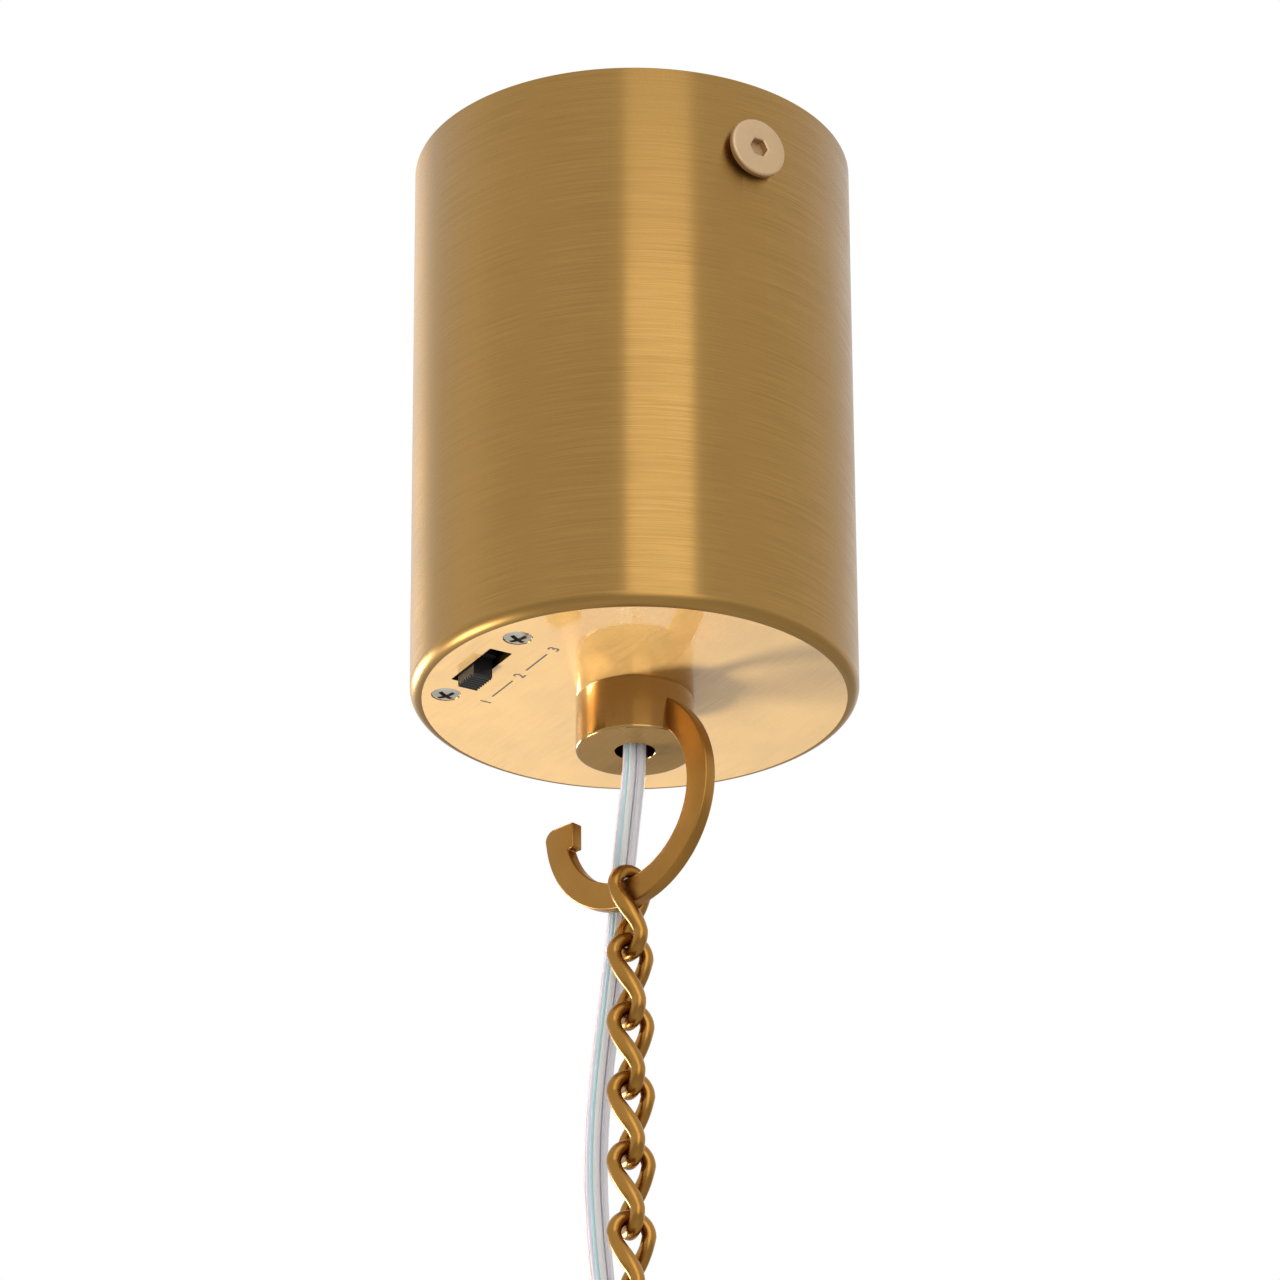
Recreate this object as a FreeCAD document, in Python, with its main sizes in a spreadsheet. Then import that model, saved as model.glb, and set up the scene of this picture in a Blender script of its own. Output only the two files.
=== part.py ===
import FreeCAD, Part
import Sketcher
import math
import os
import re

# Ceiling canopy of a pendant light with its hook, chain and clear cable.
# Millimetres, +Z up. The origin is the middle of the bracket's face against the ceiling,
# -Y is the front of the canopy and everything hangs below the XY plane.

V = FreeCAD.Vector
UP = V(0, 0, 1)

SIZES = [
    # the canopy and the bracket that it hides
    ("canopy_radius", 37.5, "outside radius of the canopy"),
    ("canopy_height", 100.0, "height of the canopy"),
    ("canopy_wall", 1.2, "sheet thickness of the canopy"),
    ("canopy_fillet", 2.0, "outside radius of the canopy's lower edge"),
    ("bracket_radius", 35.6, "radius of the ceiling bracket's disc"),
    ("bracket_plate", 1.5, "sheet thickness of the bracket"),
    ("wire_entry", 6.0, "radius of the hole for the house wires"),
    ("ceiling_spacing", 56.0, "distance between the two ceiling screws"),
    ("ceiling_slot", 10.0, "end-to-end length of a ceiling screw slot"),
    ("ceiling_slot_width", 4.6, "width of a ceiling screw slot"),
    ("ear_width", 12.0, "width of a bracket ear"),
    ("ear_plate", 2.0, "thickness of a bracket ear"),
    ("ear_drop", 20.0, "length of a bracket ear below the ceiling"),
    ("ear_face", 35.5, "distance of an ear's outer face from the axis"),
    ("side_turn", 33.0, "angle of the front side screw, from the front towards +X"),
    ("side_drop", 13.0, "depth of the side screws below the ceiling"),
    ("side_thread", 2.0, "radius of the side screws' thread, M4"),
    ("side_head", 5.25, "radius of a side screw's head"),
    ("side_head_height", 1.9, "height of a side screw's head with its collar"),
    ("side_collar", 3.8, "radius of the collar under the head"),
    ("side_collar_height", 0.6, "height of the collar"),
    ("side_shank", 8.0, "length of a side screw under its head"),
    ("side_socket", 3.0, "width across flats of a side screw's socket"),
    # the driver, upright in the canopy on its hanger
    ("hanger_width", 22.0, "width of the bracket's hanger"),
    ("hanger_drop", 72.0, "length of the hanger below the ceiling"),
    ("case_half", 22.0, "half width of the driver's case"),
    ("case_front", -4.5, "front edge of the case's walls, along Y"),
    ("case_back", 21.5, "back of the case, against the hanger"),
    ("case_top", -14.0, "top of the case"),
    ("case_bottom", -70.0, "bottom of the case"),
    ("case_wall", 1.8, "wall thickness of the case"),
    ("cover_plate", 1.6, "thickness of the case's cover"),
    ("board_half", 19.0, "half width of the board"),
    ("board_front", 15.1, "side of the board with its components, along Y"),
    ("board_plate", 1.6, "thickness of the board"),
    ("board_room", 1.2, "room above and below the board"),
    ("post_radius", 2.0, "radius of the posts behind the board"),
    ("output_hole", 3.0, "radius of the case's hole for the cable's cores"),
    ("colour_hole", 2.6, "radius of the case's hole for the switch's leads"),
    ("mains_hole", 1.4, "radius of the case's holes for the mains leads"),
    ("driver_head", 2.8, "head radius of the case's screws"),
    ("pan_height", 1.8, "height of an M3 screw's pan head"),
    ("lead_radius", 0.6, "radius of an insulated lead"),
    # the terminal block and the earth point, under the bracket
    ("block_half", 13.0, "half width of the terminal block"),
    ("block_y", -20.0, "middle of the terminal block, along Y"),
    ("block_depth", 10.0, "depth of the terminal block"),
    ("block_drop", 13.5, "distance of the block's lower face from the ceiling"),
    ("pole_pitch", 8.5, "distance between two poles of the block"),
    ("tunnel_radius", 1.6, "radius of a pole's wire tunnel"),
    ("tunnel_drop", 7.5, "distance of the wire tunnels from the ceiling"),
    ("well_radius", 1.75, "radius of a pole's screw well"),
    ("well_floor", 9.0, "distance of the wells' inner ends from the ceiling"),
    ("block_head", 2.2, "head radius of the block's screw"),
    ("tip_room", 0.3, "room between a screw's tip and the ceiling"),
    ("earth_x", 24.0, "earth screw, along X"),
    ("earth_y", -12.0, "earth screw, along Y"),
    ("earth_head", 3.5, "head radius of the earth screw"),
    ("earth_height", 2.2, "height of the earth screw's head"),
    ("tag_eye", 4.0, "radius of the earth tag's eye"),
    ("tag_plate", 1.0, "thickness of the earth tag"),
    # the boss, the hook and the hollow nipple that holds them
    ("boss_radius", 9.9, "radius of the hook boss"),
    ("boss_height", 9.5, "height of the hook boss"),
    ("boss_edge", 0.35, "chamfer of the hook boss"),
    ("cord_hole", 3.35, "radius of the boss's hole for the cable"),
    ("nipple_radius", 5.0, "radius of the nipple's thread, M10"),
    ("nipple_bore", 3.6, "radius of the nipple's bore"),
    ("nipple_in_boss", 4.0, "depth of the nipple in the boss"),
    ("nipple_length", 22.0, "length of the nipple"),
    ("thread_gap", 0.05, "radial room between a thread and its hole"),
    ("grip_radius", 6.5, "radius of the cord grip"),
    ("grip_skirt", 7.0, "length of the cord grip over the nipple"),
    ("grip_rise", 6.0, "length of the cord grip above the nipple"),
    ("grip_screw", 6.5, "length of the cord grip's screw"),
    ("nut_flats", 14.0, "width across flats of the nipple's nut"),
    ("nut_height", 3.5, "height of the nipple's nut"),
    ("washer_radius", 8.5, "radius of the nipple's washer"),
    ("washer_height", 0.8, "thickness of the nipple's washer"),
    ("hook_turn", 44.0, "angle of the hook's plane, from +X towards the front"),
    ("hook_outer", 18.6, "outside radius of the hook's ring"),
    ("hook_inner", 14.0, "inside radius of the hook's ring"),
    ("hook_plate", 2.3, "thickness of the hook"),
    ("hook_back", 0.0, "distance of the hook's back from the boss's axis"),
    ("hook_drop", 19.2, "depth of the ring's centre below the canopy"),
    ("hook_shift", -0.2, "offset of the ring's centre from the boss's axis"),
    ("tang_start", 5.5, "distance of the hook's inner end from the boss's axis"),
    ("tang_top", 2.7, "depth of the hook's upper end below the canopy"),
    ("tip_rise", 0.2, "height of the hook's tip above the ring's centre"),
    ("lip_reach", 1.9, "reach of the tip's lip inside the ring"),
    ("lip_drop", 4.6, "height of the tip's lip"),
    ("tip_round", 2.0, "radius of the tip's outer corner"),
    ("hook_edge", 0.35, "rounding of the hook's long edges"),
    ("slot_room", 0.15, "room between the hook's ring and the floor of its slot"),
    # the colour switch in the canopy's floor
    ("switch_x", -25.2, "middle of the switch, along X"),
    ("switch_y", -13.3, "middle of the switch, along Y"),
    ("switch_turn", -60.0, "direction of the switch's travel, from +X"),
    ("switch_pitch", 24.7, "distance between the switch's two screws"),
    ("switch_travel", 4.4, "travel of the knob over its three positions"),
    ("slot_length", 13.5, "length of the knob's slot"),
    ("slot_width", 4.1, "width of the knob's slot"),
    ("flange_half", 14.6, "half length of the switch frame's flange"),
    ("flange_plate", 0.8, "thickness of the flange"),
    ("frame_half_width", 3.9, "half width of the switch's frame"),
    ("frame_wall", 0.5, "sheet thickness of the frame's sleeve"),
    ("sleeve_half", 8.6, "half length of the sleeve"),
    ("sleeve_height", 5.3, "height of the sleeve"),
    ("base_height", 6.3, "height of the switch's base"),
    ("channel_height", 4.6, "height of the channel in the base"),
    ("channel_end", 0.6, "reach of the channel past each end of the slot"),
    ("channel_side", 0.3, "reach of the channel past each side of the slot"),
    ("pin_width", 1.0, "width of a switch terminal"),
    ("pin_plate", 0.5, "thickness of a switch terminal"),
    ("pin_length", 4.9, "length of a switch terminal"),
    ("shoe_half", 4.1, "half length of the knob's shoe"),
    ("shoe_half_width", 1.95, "half width of the shoe"),
    ("shoe_floor", 0.4, "distance of the shoe from the canopy's floor"),
    ("shoe_height", 2.0, "height of the shoe"),
    ("contact_half", 2.6, "half length of the sliding contact"),
    ("contact_half_width", 1.2, "half width of the sliding contact"),
    ("contact_plate", 0.5, "thickness of the contact's bridge"),
    ("leaf_length", 1.4, "length of a contact's leaf"),
    ("leaf_room", 0.2, "room between the leaves and the channel"),
    ("knob_length", 5.4, "length of the knob"),
    ("knob_width", 3.5, "width of the knob"),
    ("knob_out", 2.1, "height of the knob outside the canopy"),
    ("ridge_count", 7, "number of ridges on the knob"),
    ("ridge_depth", 0.35, "depth of the grooves between the ridges"),
    ("csk_radius", 2.4, "head radius of the switch's countersunk screws"),
    ("csk_thread", 1.25, "radius of their thread, M2.5"),
    ("csk_height", 1.1, "height of their heads"),
    ("csk_length", 5.0, "length of these screws"),
    ("recess_length", 2.7, "length of a bar of their cross recess"),
    ("recess_width", 0.55, "width of a bar of the recess"),
    ("recess_depth", 0.8, "depth of the recess"),
    ("m3_radius", 1.5, "radius of an M3 thread"),
    # the chain and the cable
    ("wire_size", 2.4, "diameter of the chain's wire"),
    ("link_half", 3.0, "half width of a link, at its wire's middle"),
    ("link_pitch", 12.1, "distance from one link to the next"),
    ("link_gap", 0.15, "room between two links' wires"),
    ("link_waist", 2.95, "distance of the twisted legs from the link's middle"),
    ("cord_size", 4.0, "diameter of the clear cable"),
    ("neck_radius", 2.9, "radius of the connector's neck"),
    ("neck_length", 4.0, "length of the connector's neck"),
    ("connector_width", 9.0, "width of the connector"),
    ("connector_depth", 6.0, "depth of the connector"),
    ("connector_length", 14.0, "length of the connector under its neck"),
    ("prong_radius", 0.9, "radius of a connector pin"),
    ("prong_length", 5.0, "length of a connector pin outside the connector"),
    ("prong_spacing", 4.0, "distance between the two pins"),
]

# Angle of each link's upper loop about the chain's axis, from +X. The link under the hook
# turns to pass the flat hook, and the rest settle to one direction.
LINK_TURNS = (36.0, 28.0, 24.0, 22.0, 20.0, 19.0, 18.0)

# Places of the pieces inside the canopy.
BLOCK_SCREW = ("pole_pitch/2", "block_y")
EARTH_SCREW = ("earth_x", "earth_y")
DRIVER_SCREW_DROPS = (24.0, 60.0)
BOARD_POSTS = [(x, z) for x in (-16, 16) for z in (-64, -20)]
TRANSFORMER_CORE = (("-2", "14"), ("3.1", "board_front"), ("-50", "-34"))
TRANSFORMER_COIL = {"base": ("6", "9", "-53"), "Radius": "5.5", "Height": "22"}
CAPACITORS = ((-11, -44, 5, 14), (-13, -31, 3.5, 11), (14.5, -24, 3.5, 11))     # x, z, radius, length
SWITCH_PINS = (-5.2, -1.8, 1.8, 5.2)
OUTPUT_LEADS = (-0.9, 0.9)
MAINS_LEADS = (-8.5, 8.5)
COLOUR_LEADS = (-15.4, -14.0, -12.6)

# Route of the clear cable, from inside the cord grip to its connector.
CORD_ROUTE = [
    (0.0, 0.0, -76.0), (0.0, 0.0, -112.0), (-1.2, 3.2, -121.5), (-2.3, 7.4, -130.5),
    (-3.1, 9.9, -140.5), (-4.5, 11.0, -152.0), (-6.1, 11.8, -165.0), (-6.9, 12.1, -178.5),
    (-6.4, 11.9, -190.5), (-5.4, 11.4, -201.5), (-4.8, 11.0, -211.0), (-4.8, 11.0, -220.0),
]

os.makedirs("parts", exist_ok=True)
doc = FreeCAD.newDocument("pendant")
sheet = doc.addObject("Spreadsheet::Sheet", "dims")
for row, (alias, value, meaning) in enumerate(SIZES, start=1):
    sheet.set(f"A{row}", str(value))
    sheet.setAlias(f"A{row}", alias)
    sheet.set(f"B{row}", meaning)
doc.recompute()

D = {alias: float(sheet.get(alias)) for alias, value, meaning in SIZES}
NAMES = set(D)
NODES = []


# ---------------------------------------------------------------- helpers

def cells(formula):
    """A formula in the sheet's aliases, as an expression of the document."""
    return re.sub(r"[a-z_][a-z_0-9]*", lambda word: ("dims." if word[0] in NAMES else "") + word[0], formula)


def bind(thing, **formulas):
    """Bind properties to formulas in the sheet's aliases."""
    for name, formula in formulas.items():
        thing.setExpression(name, cells(formula))
    return thing


def place(thing, base=("0", "0", "0"), turn=0.0, tilt=None):
    """Put a piece at a base given by formulas, after a tilt and a turn about Z."""
    rotation = FreeCAD.Rotation(UP, turn)
    if tilt is not None:
        rotation = rotation.multiply(tilt)
    thing.Placement = FreeCAD.Placement(V(0, 0, 0), rotation)
    for axis, formula in zip("xyz", base):
        thing.setExpression("Placement.Base." + axis, cells(formula))
    return thing


def primitive(kind, name, base=("0", "0", "0"), turn=0.0, tilt=None, **formulas):
    """A Part primitive whose sizes and place are bound to the sheet."""
    thing = doc.addObject("Part::" + kind, name)
    return place(bind(thing, **formulas), base, turn, tilt)


def box(name, x, y, z):
    """A box between two formulas along each axis."""
    sides = zip(("Length", "Width", "Height"), (x, y, z))
    sizes = {side: f"({high}) - ({low})" for side, (low, high) in sides}
    return primitive("Box", name, (x[0], y[0], z[0]), **sizes)


def rod(name, radius, low, high, x="0", y="0"):
    """An upright cylinder between two heights."""
    return primitive("Cylinder", name, (x, y, low), Radius=radius, Height=f"({high}) - ({low})")


def cut(name, base, *tools):
    """One piece with others taken out of it."""
    tool = tools[0] if len(tools) == 1 else fuse(name + "_tools", *tools)
    thing = doc.addObject("Part::Cut", name)
    thing.Base = base
    thing.Tool = tool
    return thing


def fuse(name, *pieces):
    """Several pieces joined into one."""
    thing = doc.addObject("Part::MultiFuse", name)
    thing.Shapes = list(pieces)
    return thing


def group(name, *pieces):
    """Separate solids kept in one node, or one solid that is placed as a whole."""
    thing = doc.addObject("Part::Compound", name)
    thing.Links = list(pieces)
    return thing


def node(thing, solids=1):
    """Keep a finished piece, which has this many solids."""
    NODES.append((thing, solids))
    return thing


def body(name):
    return doc.addObject("PartDesign::Body", name)


def sketch(owner, role, name, shift=("0", "0", "0"), turn=0.0):
    """A sketch on one of its body's own planes, shifted and turned in that plane."""
    thing = owner.newObject("Sketcher::SketchObject", name)
    plane = next(feature for feature in owner.Origin.OriginFeatures if feature.Role == role)
    thing.AttachmentSupport = [(plane, "")]
    thing.MapMode = "FlatFace"
    thing.AttachmentOffset = FreeCAD.Placement(V(0, 0, 0), FreeCAD.Rotation(UP, turn))
    for axis, formula in zip("xyz", shift):
        thing.setExpression("AttachmentOffset.Base." + axis, cells(formula))
    return thing


def pin_point(owner, geometry, point, x, y):
    """Fix a sketch point at two formulas from the sketch's origin."""
    for kind, formula in (("DistanceX", x), ("DistanceY", y)):
        index = owner.addConstraint(Sketcher.Constraint(kind, -1, 1, geometry, point, 1.0))
        owner.setExpression(f"Constraints[{index}]", cells(formula))


def outline(owner, corners):
    """A closed outline of straight lines through corners given by formulas."""
    count = len(corners)
    start = [V(math.cos(2 * math.pi * i / count), math.sin(2 * math.pi * i / count), 0) for i in range(count)]
    lines = [owner.addGeometry(Part.LineSegment(start[i], start[(i + 1) % count])) for i in range(count)]
    for i, line in enumerate(lines):
        owner.addConstraint(Sketcher.Constraint("Coincident", line, 2, lines[(i + 1) % count], 1))
    for line, (x, y) in zip(lines, corners):
        pin_point(owner, line, 1, x, y)


def ring(owner, radius, x="0", y="0"):
    """A circle in a sketch."""
    circle = owner.addGeometry(Part.Circle(V(0, 0, 0), UP, 1.0))
    pin_point(owner, circle, 3, x, y)
    index = owner.addConstraint(Sketcher.Constraint("Radius", circle, 1.0))
    owner.setExpression(f"Constraints[{index}]", cells(radius))


def rectangle(owner, x, y):
    outline(owner, [(x[0], y[0]), (x[1], y[0]), (x[1], y[1]), (x[0], y[1])])


def feature(owner, kind, name, **settings):
    """Add a feature to a body."""
    thing = owner.newObject("PartDesign::" + kind, name)
    for key, setting in settings.items():
        setattr(thing, key, setting)
    owner.Tip = thing
    return thing


def removes(owner, make):
    """Run a cutting step and make sure that the body lost material."""
    doc.recompute()
    before = owner.Shape.Volume
    make()
    doc.recompute()
    if owner.Shape.Volume > before - 0.01:
        raise RuntimeError(owner.Label + ": a cut removed nothing")


def pocket(owner, profile, name):
    removes(owner, lambda: feature(owner, "Pocket", name, Profile=profile, Type="ThroughAll"))


def along(direction):
    """The rotation that lays a cylinder's axis along a direction."""
    return FreeCAD.Rotation(UP, direction)


BACKWARDS = along(V(0, 1, 0))
SIDEWAYS = along(V(1, 0, 0))


def edge_names(shape, test):
    """Names of the edges that pass a test."""
    return [f"Edge{i}" for i, edge in enumerate(shape.Edges, start=1) if test(edge)]


def corner_arc(before, corner, after, reach):
    """Start, middle and end of the arc that rounds a corner, from this far before it."""
    back = before - corner
    ahead = after - corner
    half = (math.pi - back.getAngle(ahead)) / 2
    radius = reach / math.tan(half)
    back.normalize()
    ahead.normalize()
    inward = back + ahead
    inward.normalize()
    middle = corner + inward * (radius / math.cos(half) - radius)
    return corner + back * reach, middle, corner + ahead * reach


def rounded_path(points):
    """Straight runs joined by tangent arcs, each as large as its two runs allow."""
    points = [V(*point) for point in points]
    edges = []
    radii = []
    start = points[0]
    for before, corner, after in zip(points, points[1:], points[2:]):
        reach = 0.45 * min((before - corner).Length, (after - corner).Length)
        first, middle, last = corner_arc(before, corner, after, reach)
        edges.append(Part.LineSegment(start, first).toShape())
        bend = Part.Arc(first, middle, last).toShape()
        edges.append(bend)
        radii.append(bend.Curve.Radius)
        start = last
    edges.append(Part.LineSegment(start, points[-1]).toShape())
    return Part.Wire(edges), radii


def swept(path, radius):
    """A round solid along a path."""
    start = path.Edges[0].valueAt(path.Edges[0].FirstParameter)
    heading = path.Edges[0].tangentAt(path.Edges[0].FirstParameter)
    section = Part.Wire([Part.Circle(start, heading, radius).toShape()])
    pipe = Part.BRepOffsetAPI.MakePipeShell(path)
    pipe.add(section)
    pipe.build()
    pipe.makeSolid()
    solid = pipe.shape()
    expected = math.pi * radius ** 2 * path.Length
    if abs(solid.Volume - expected) > 0.02 * expected:
        raise RuntimeError(f"tube volume {solid.Volume:.1f}, expected {expected:.1f}")
    return solid


def tube(name, points, radius):
    """A cable or lead along its route."""
    path, radii = rounded_path(points)
    thing = doc.addObject("Part::Feature", name)
    thing.Shape = swept(path, radius)
    print(f"{name}: length {path.Length:.1f}, bend radii " + " ".join(f"{r:.0f}" for r in radii))
    return thing


# ---------------------------------------------------------------- the canopy

SIDE_ANGLE = D["side_turn"] - 90.0                  # direction of the front side screw, from +X
SIDE_DIRECTION = FreeCAD.Rotation(UP, SIDE_ANGLE).multVec(V(1, 0, 0))
SWITCH_BASE = ("switch_x", "switch_y", "-canopy_height")


def at_switch(thing):
    """Place a piece that is built about the switch's middle, on the canopy's outer face."""
    return place(thing, SWITCH_BASE, D["switch_turn"])


def canopy_shell():
    """A drawn round cup, open at the ceiling, with its holes."""
    shell = body("canopy_shell")
    profile = sketch(shell, "XZ_Plane", "canopy_profile")
    hole = "nipple_radius + thread_gap"
    outline(profile, [
        (hole, "-canopy_height"),
        ("canopy_radius", "-canopy_height"),
        ("canopy_radius", "0"),
        ("canopy_radius - canopy_wall", "0"),
        ("canopy_radius - canopy_wall", "canopy_wall - canopy_height"),
        (hole, "canopy_wall - canopy_height"),
    ])
    feature(shell, "Revolution", "canopy_cup", Profile=profile, ReferenceAxis=(profile, ["V_Axis"]), Angle=360)
    doc.recompute()

    def lower_edge(edge):
        round_edge = isinstance(edge.Curve, Part.Circle) and abs(edge.Curve.Radius - D["canopy_radius"]) < 0.01
        return round_edge and abs(edge.Curve.Center.z + D["canopy_height"]) < 0.01

    names = edge_names(shell.Tip.Shape, lower_edge)
    bend = feature(shell, "Fillet", "canopy_lower_edge", Base=(shell.Tip, names))
    bind(bend, Radius="canopy_fillet")
    slot = sketch(shell, "XY_Plane", "switch_slot", ("switch_x", "switch_y", "0"), D["switch_turn"])
    rectangle(slot, ("-slot_length/2", "slot_length/2"), ("-slot_width/2", "slot_width/2"))
    for side in ("-", ""):
        ring(slot, "csk_thread + thread_gap", side + "switch_pitch/2")
    pocket(shell, slot, "switch_openings")
    for index, side in enumerate((-1, 1)):
        screw = FreeCAD.Rotation(UP, D["switch_turn"]).multVec(V(side * D["switch_pitch"] / 2, 0, 0))
        base = (f"switch_x + ({screw.x})", f"switch_y + ({screw.y})", "-canopy_height")

        def countersink():
            cone = feature(shell, "SubtractiveCone", f"countersink_{index}")
            bind(cone, Radius1="csk_radius", Radius2="csk_thread", Height="csk_height")
            place(cone, base)

        removes(shell, countersink)

    def side_holes():
        drill = feature(shell, "SubtractiveCylinder", "side_holes")
        bind(drill, Radius="side_thread + 0.15", Height="2*canopy_radius + 2")
        start = SIDE_DIRECTION * (D["canopy_radius"] + 1)
        place(drill, (str(-start.x), str(-start.y), "-side_drop"), 0.0, along(SIDE_DIRECTION))

    removes(shell, side_holes)
    node(shell)


def ceiling_bracket():
    """The disc against the ceiling, with two threaded ears and the driver's hanger."""
    bracket = body("ceiling_bracket")
    disc = sketch(bracket, "XY_Plane", "bracket_disc")
    ring(disc, "bracket_radius")
    ring(disc, "wire_entry")
    plate = feature(bracket, "Pad", "bracket_plate", Profile=disc, Reversed=True)
    bind(plate, Length="bracket_plate")
    slots = sketch(bracket, "XY_Plane", "ceiling_slots")
    ends = sketch(bracket, "XY_Plane", "ceiling_slot_ends")
    for side in ("-", ""):
        middle = side + "ceiling_spacing/2"
        half = "(ceiling_slot - ceiling_slot_width)/2"
        rectangle(slots, (f"{middle} - {half}", f"{middle} + {half}"),
                  ("-ceiling_slot_width/2", "ceiling_slot_width/2"))
        for end in ("-", "+"):
            ring(ends, "ceiling_slot_width/2", f"{middle} {end} {half}")
    pocket(bracket, slots, "ceiling_slot_cuts")
    pocket(bracket, ends, "ceiling_slot_rounds")
    for index, turn in enumerate((SIDE_ANGLE, SIDE_ANGLE + 180.0)):
        corner = FreeCAD.Rotation(UP, turn).multVec(V(D["ear_face"] - D["ear_plate"], -D["ear_width"] / 2, 0))
        ear = feature(bracket, "AdditiveBox", f"ear_{index}")
        bind(ear, Length="ear_plate", Width="ear_width", Height="ear_drop")
        place(ear, (str(corner.x), str(corner.y), "-ear_drop"), turn)
    hanger = feature(bracket, "AdditiveBox", "driver_hanger")
    bind(hanger, Length="hanger_width", Width="bracket_plate", Height="hanger_drop")
    place(hanger, ("-hanger_width/2", "case_back", "-hanger_drop"))

    def threads():
        drill = feature(bracket, "SubtractiveCylinder", "ear_threads")
        bind(drill, Radius="side_thread", Height="2*canopy_radius")
        start = SIDE_DIRECTION * D["canopy_radius"]
        place(drill, (str(-start.x), str(-start.y), "-side_drop"), 0.0, along(SIDE_DIRECTION))

    removes(bracket, threads)
    for index, drop in enumerate(DRIVER_SCREW_DROPS):

        def hanger_hole():
            drill = feature(bracket, "SubtractiveCylinder", f"hanger_hole_{index}")
            bind(drill, Radius="m3_radius + thread_gap", Height="bracket_plate + 2")
            place(drill, ("0", "case_back - 1", str(-drop)), 0.0, BACKWARDS)

        removes(bracket, hanger_hole)
    threads_down = (("block_thread", *BLOCK_SCREW, "m3_radius"), ("earth_thread", *EARTH_SCREW, "side_thread"))
    for name, x, y, radius in threads_down:

        def plate_hole():
            drill = feature(bracket, "SubtractiveCylinder", name)
            bind(drill, Radius=radius, Height="bracket_plate + 2")
            place(drill, (x, y, "-bracket_plate - 1"))

        removes(bracket, plate_hole)
    node(bracket)


def side_screws():
    """Two low-head M4 screws with hexagon sockets, on one line through the axis."""
    head = rod("side_cap", "side_head", "side_collar_height", "side_head_height")
    collar = rod("side_foot", "side_collar", "0", "side_collar_height")
    shank = rod("side_stem", "side_thread - thread_gap", "-side_shank", "0")
    blank = fuse("side_blank", head, collar, shank)
    socket = primitive("Prism", "side_recess", ("0", "0", "side_head_height - 1.5"),
                       Circumradius="side_socket/sqrt(3)", Height="3")
    socket.Polygon = 6
    screw = cut("side_screw", blank, socket)
    pair = []
    for index, side in enumerate((1, -1)):
        out = SIDE_DIRECTION * side
        single = group(f"side_screw_{index}", screw)
        point = out * D["canopy_radius"]
        place(single, (str(point.x), str(point.y), "-side_drop"), 0.0, along(out))
        pair.append(single)
    node(group("side_screws", *pair), 2)


# ---------------------------------------------------------------- the driver

CASE_X = ("-case_half", "case_half")
CASE_Y = ("case_front", "case_back")
CASE_Z = ("case_bottom", "case_top")


def driver_case():
    """The case's walls with its holes and the posts behind the board, and its cover."""
    outer = box("case_block", CASE_X, CASE_Y, CASE_Z)
    hollow = box("case_hollow", ("-case_half + case_wall", "case_half - case_wall"),
                 ("case_front - 1", "case_back - case_wall"), ("case_bottom + case_wall", "case_top - case_wall"))
    low = ("case_bottom - 1", "case_bottom + case_wall + 1")
    high = ("case_top - case_wall - 1", "case_top + 1")
    holes = [rod("output_opening", "output_hole", *low),
             rod("colour_opening", "colour_hole", *low, str(COLOUR_LEADS[1]))]
    for index, x in enumerate(MAINS_LEADS):
        holes.append(rod(f"mains_opening_{index}", "mains_hole", *high, str(x), "2"))
    for index, drop in enumerate(DRIVER_SCREW_DROPS):
        holes.append(primitive("Cylinder", f"case_thread_{index}", ("0", "case_back - case_wall - 1", str(-drop)),
                               0.0, BACKWARDS, Radius="m3_radius", Height="case_wall + 2"))
    walls = cut("case_walls", outer, hollow, *holes)
    posts = []
    for index, (x, z) in enumerate(BOARD_POSTS):
        posts.append(primitive("Cylinder", f"board_post_{index}", (str(x), "board_front + board_plate", str(z)),
                               0.0, BACKWARDS, Radius="post_radius",
                               Height="case_back - case_wall/2 - board_front - board_plate"))
    node(fuse("driver_case", walls, *posts))
    node(box("driver_cover", CASE_X, ("case_front - cover_plate", "case_front"), CASE_Z))


def driver():
    """The driver's board and components, and the screws that hold its case to the hanger."""
    node(box("driver_board", ("-board_half", "board_half"), ("board_front", "board_front + board_plate"),
             ("case_bottom + case_wall + board_room", "case_top - case_wall - board_room")))
    core = box("transformer_core", *TRANSFORMER_CORE)
    node(fuse("driver_transformer", core, primitive("Cylinder", "transformer_coil", **TRANSFORMER_COIL)))
    cans = []
    for index, (x, z, radius, length) in enumerate(CAPACITORS):
        cans.append(primitive("Cylinder", f"capacitor_{index}", (str(x), f"board_front - {length}", str(z)),
                              0.0, BACKWARDS, Radius=str(radius), Height=str(length)))
    node(group("driver_capacitors", *cans), 3)
    screws = []
    for index, drop in enumerate(DRIVER_SCREW_DROPS):
        head = primitive("Cylinder", f"driver_screw_head_{index}", ("0", "case_back + bracket_plate", str(-drop)),
                         0.0, BACKWARDS, Radius="driver_head", Height="pan_height")
        shank = primitive("Cylinder", f"driver_screw_shank_{index}", ("0", "case_back - 3", str(-drop)),
                          0.0, BACKWARDS, Radius="m3_radius - thread_gap", Height="bracket_plate + 3")
        screws.append(fuse(f"driver_screw_{index}", head, shank))
    node(group("driver_screws", *screws), 2)


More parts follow.
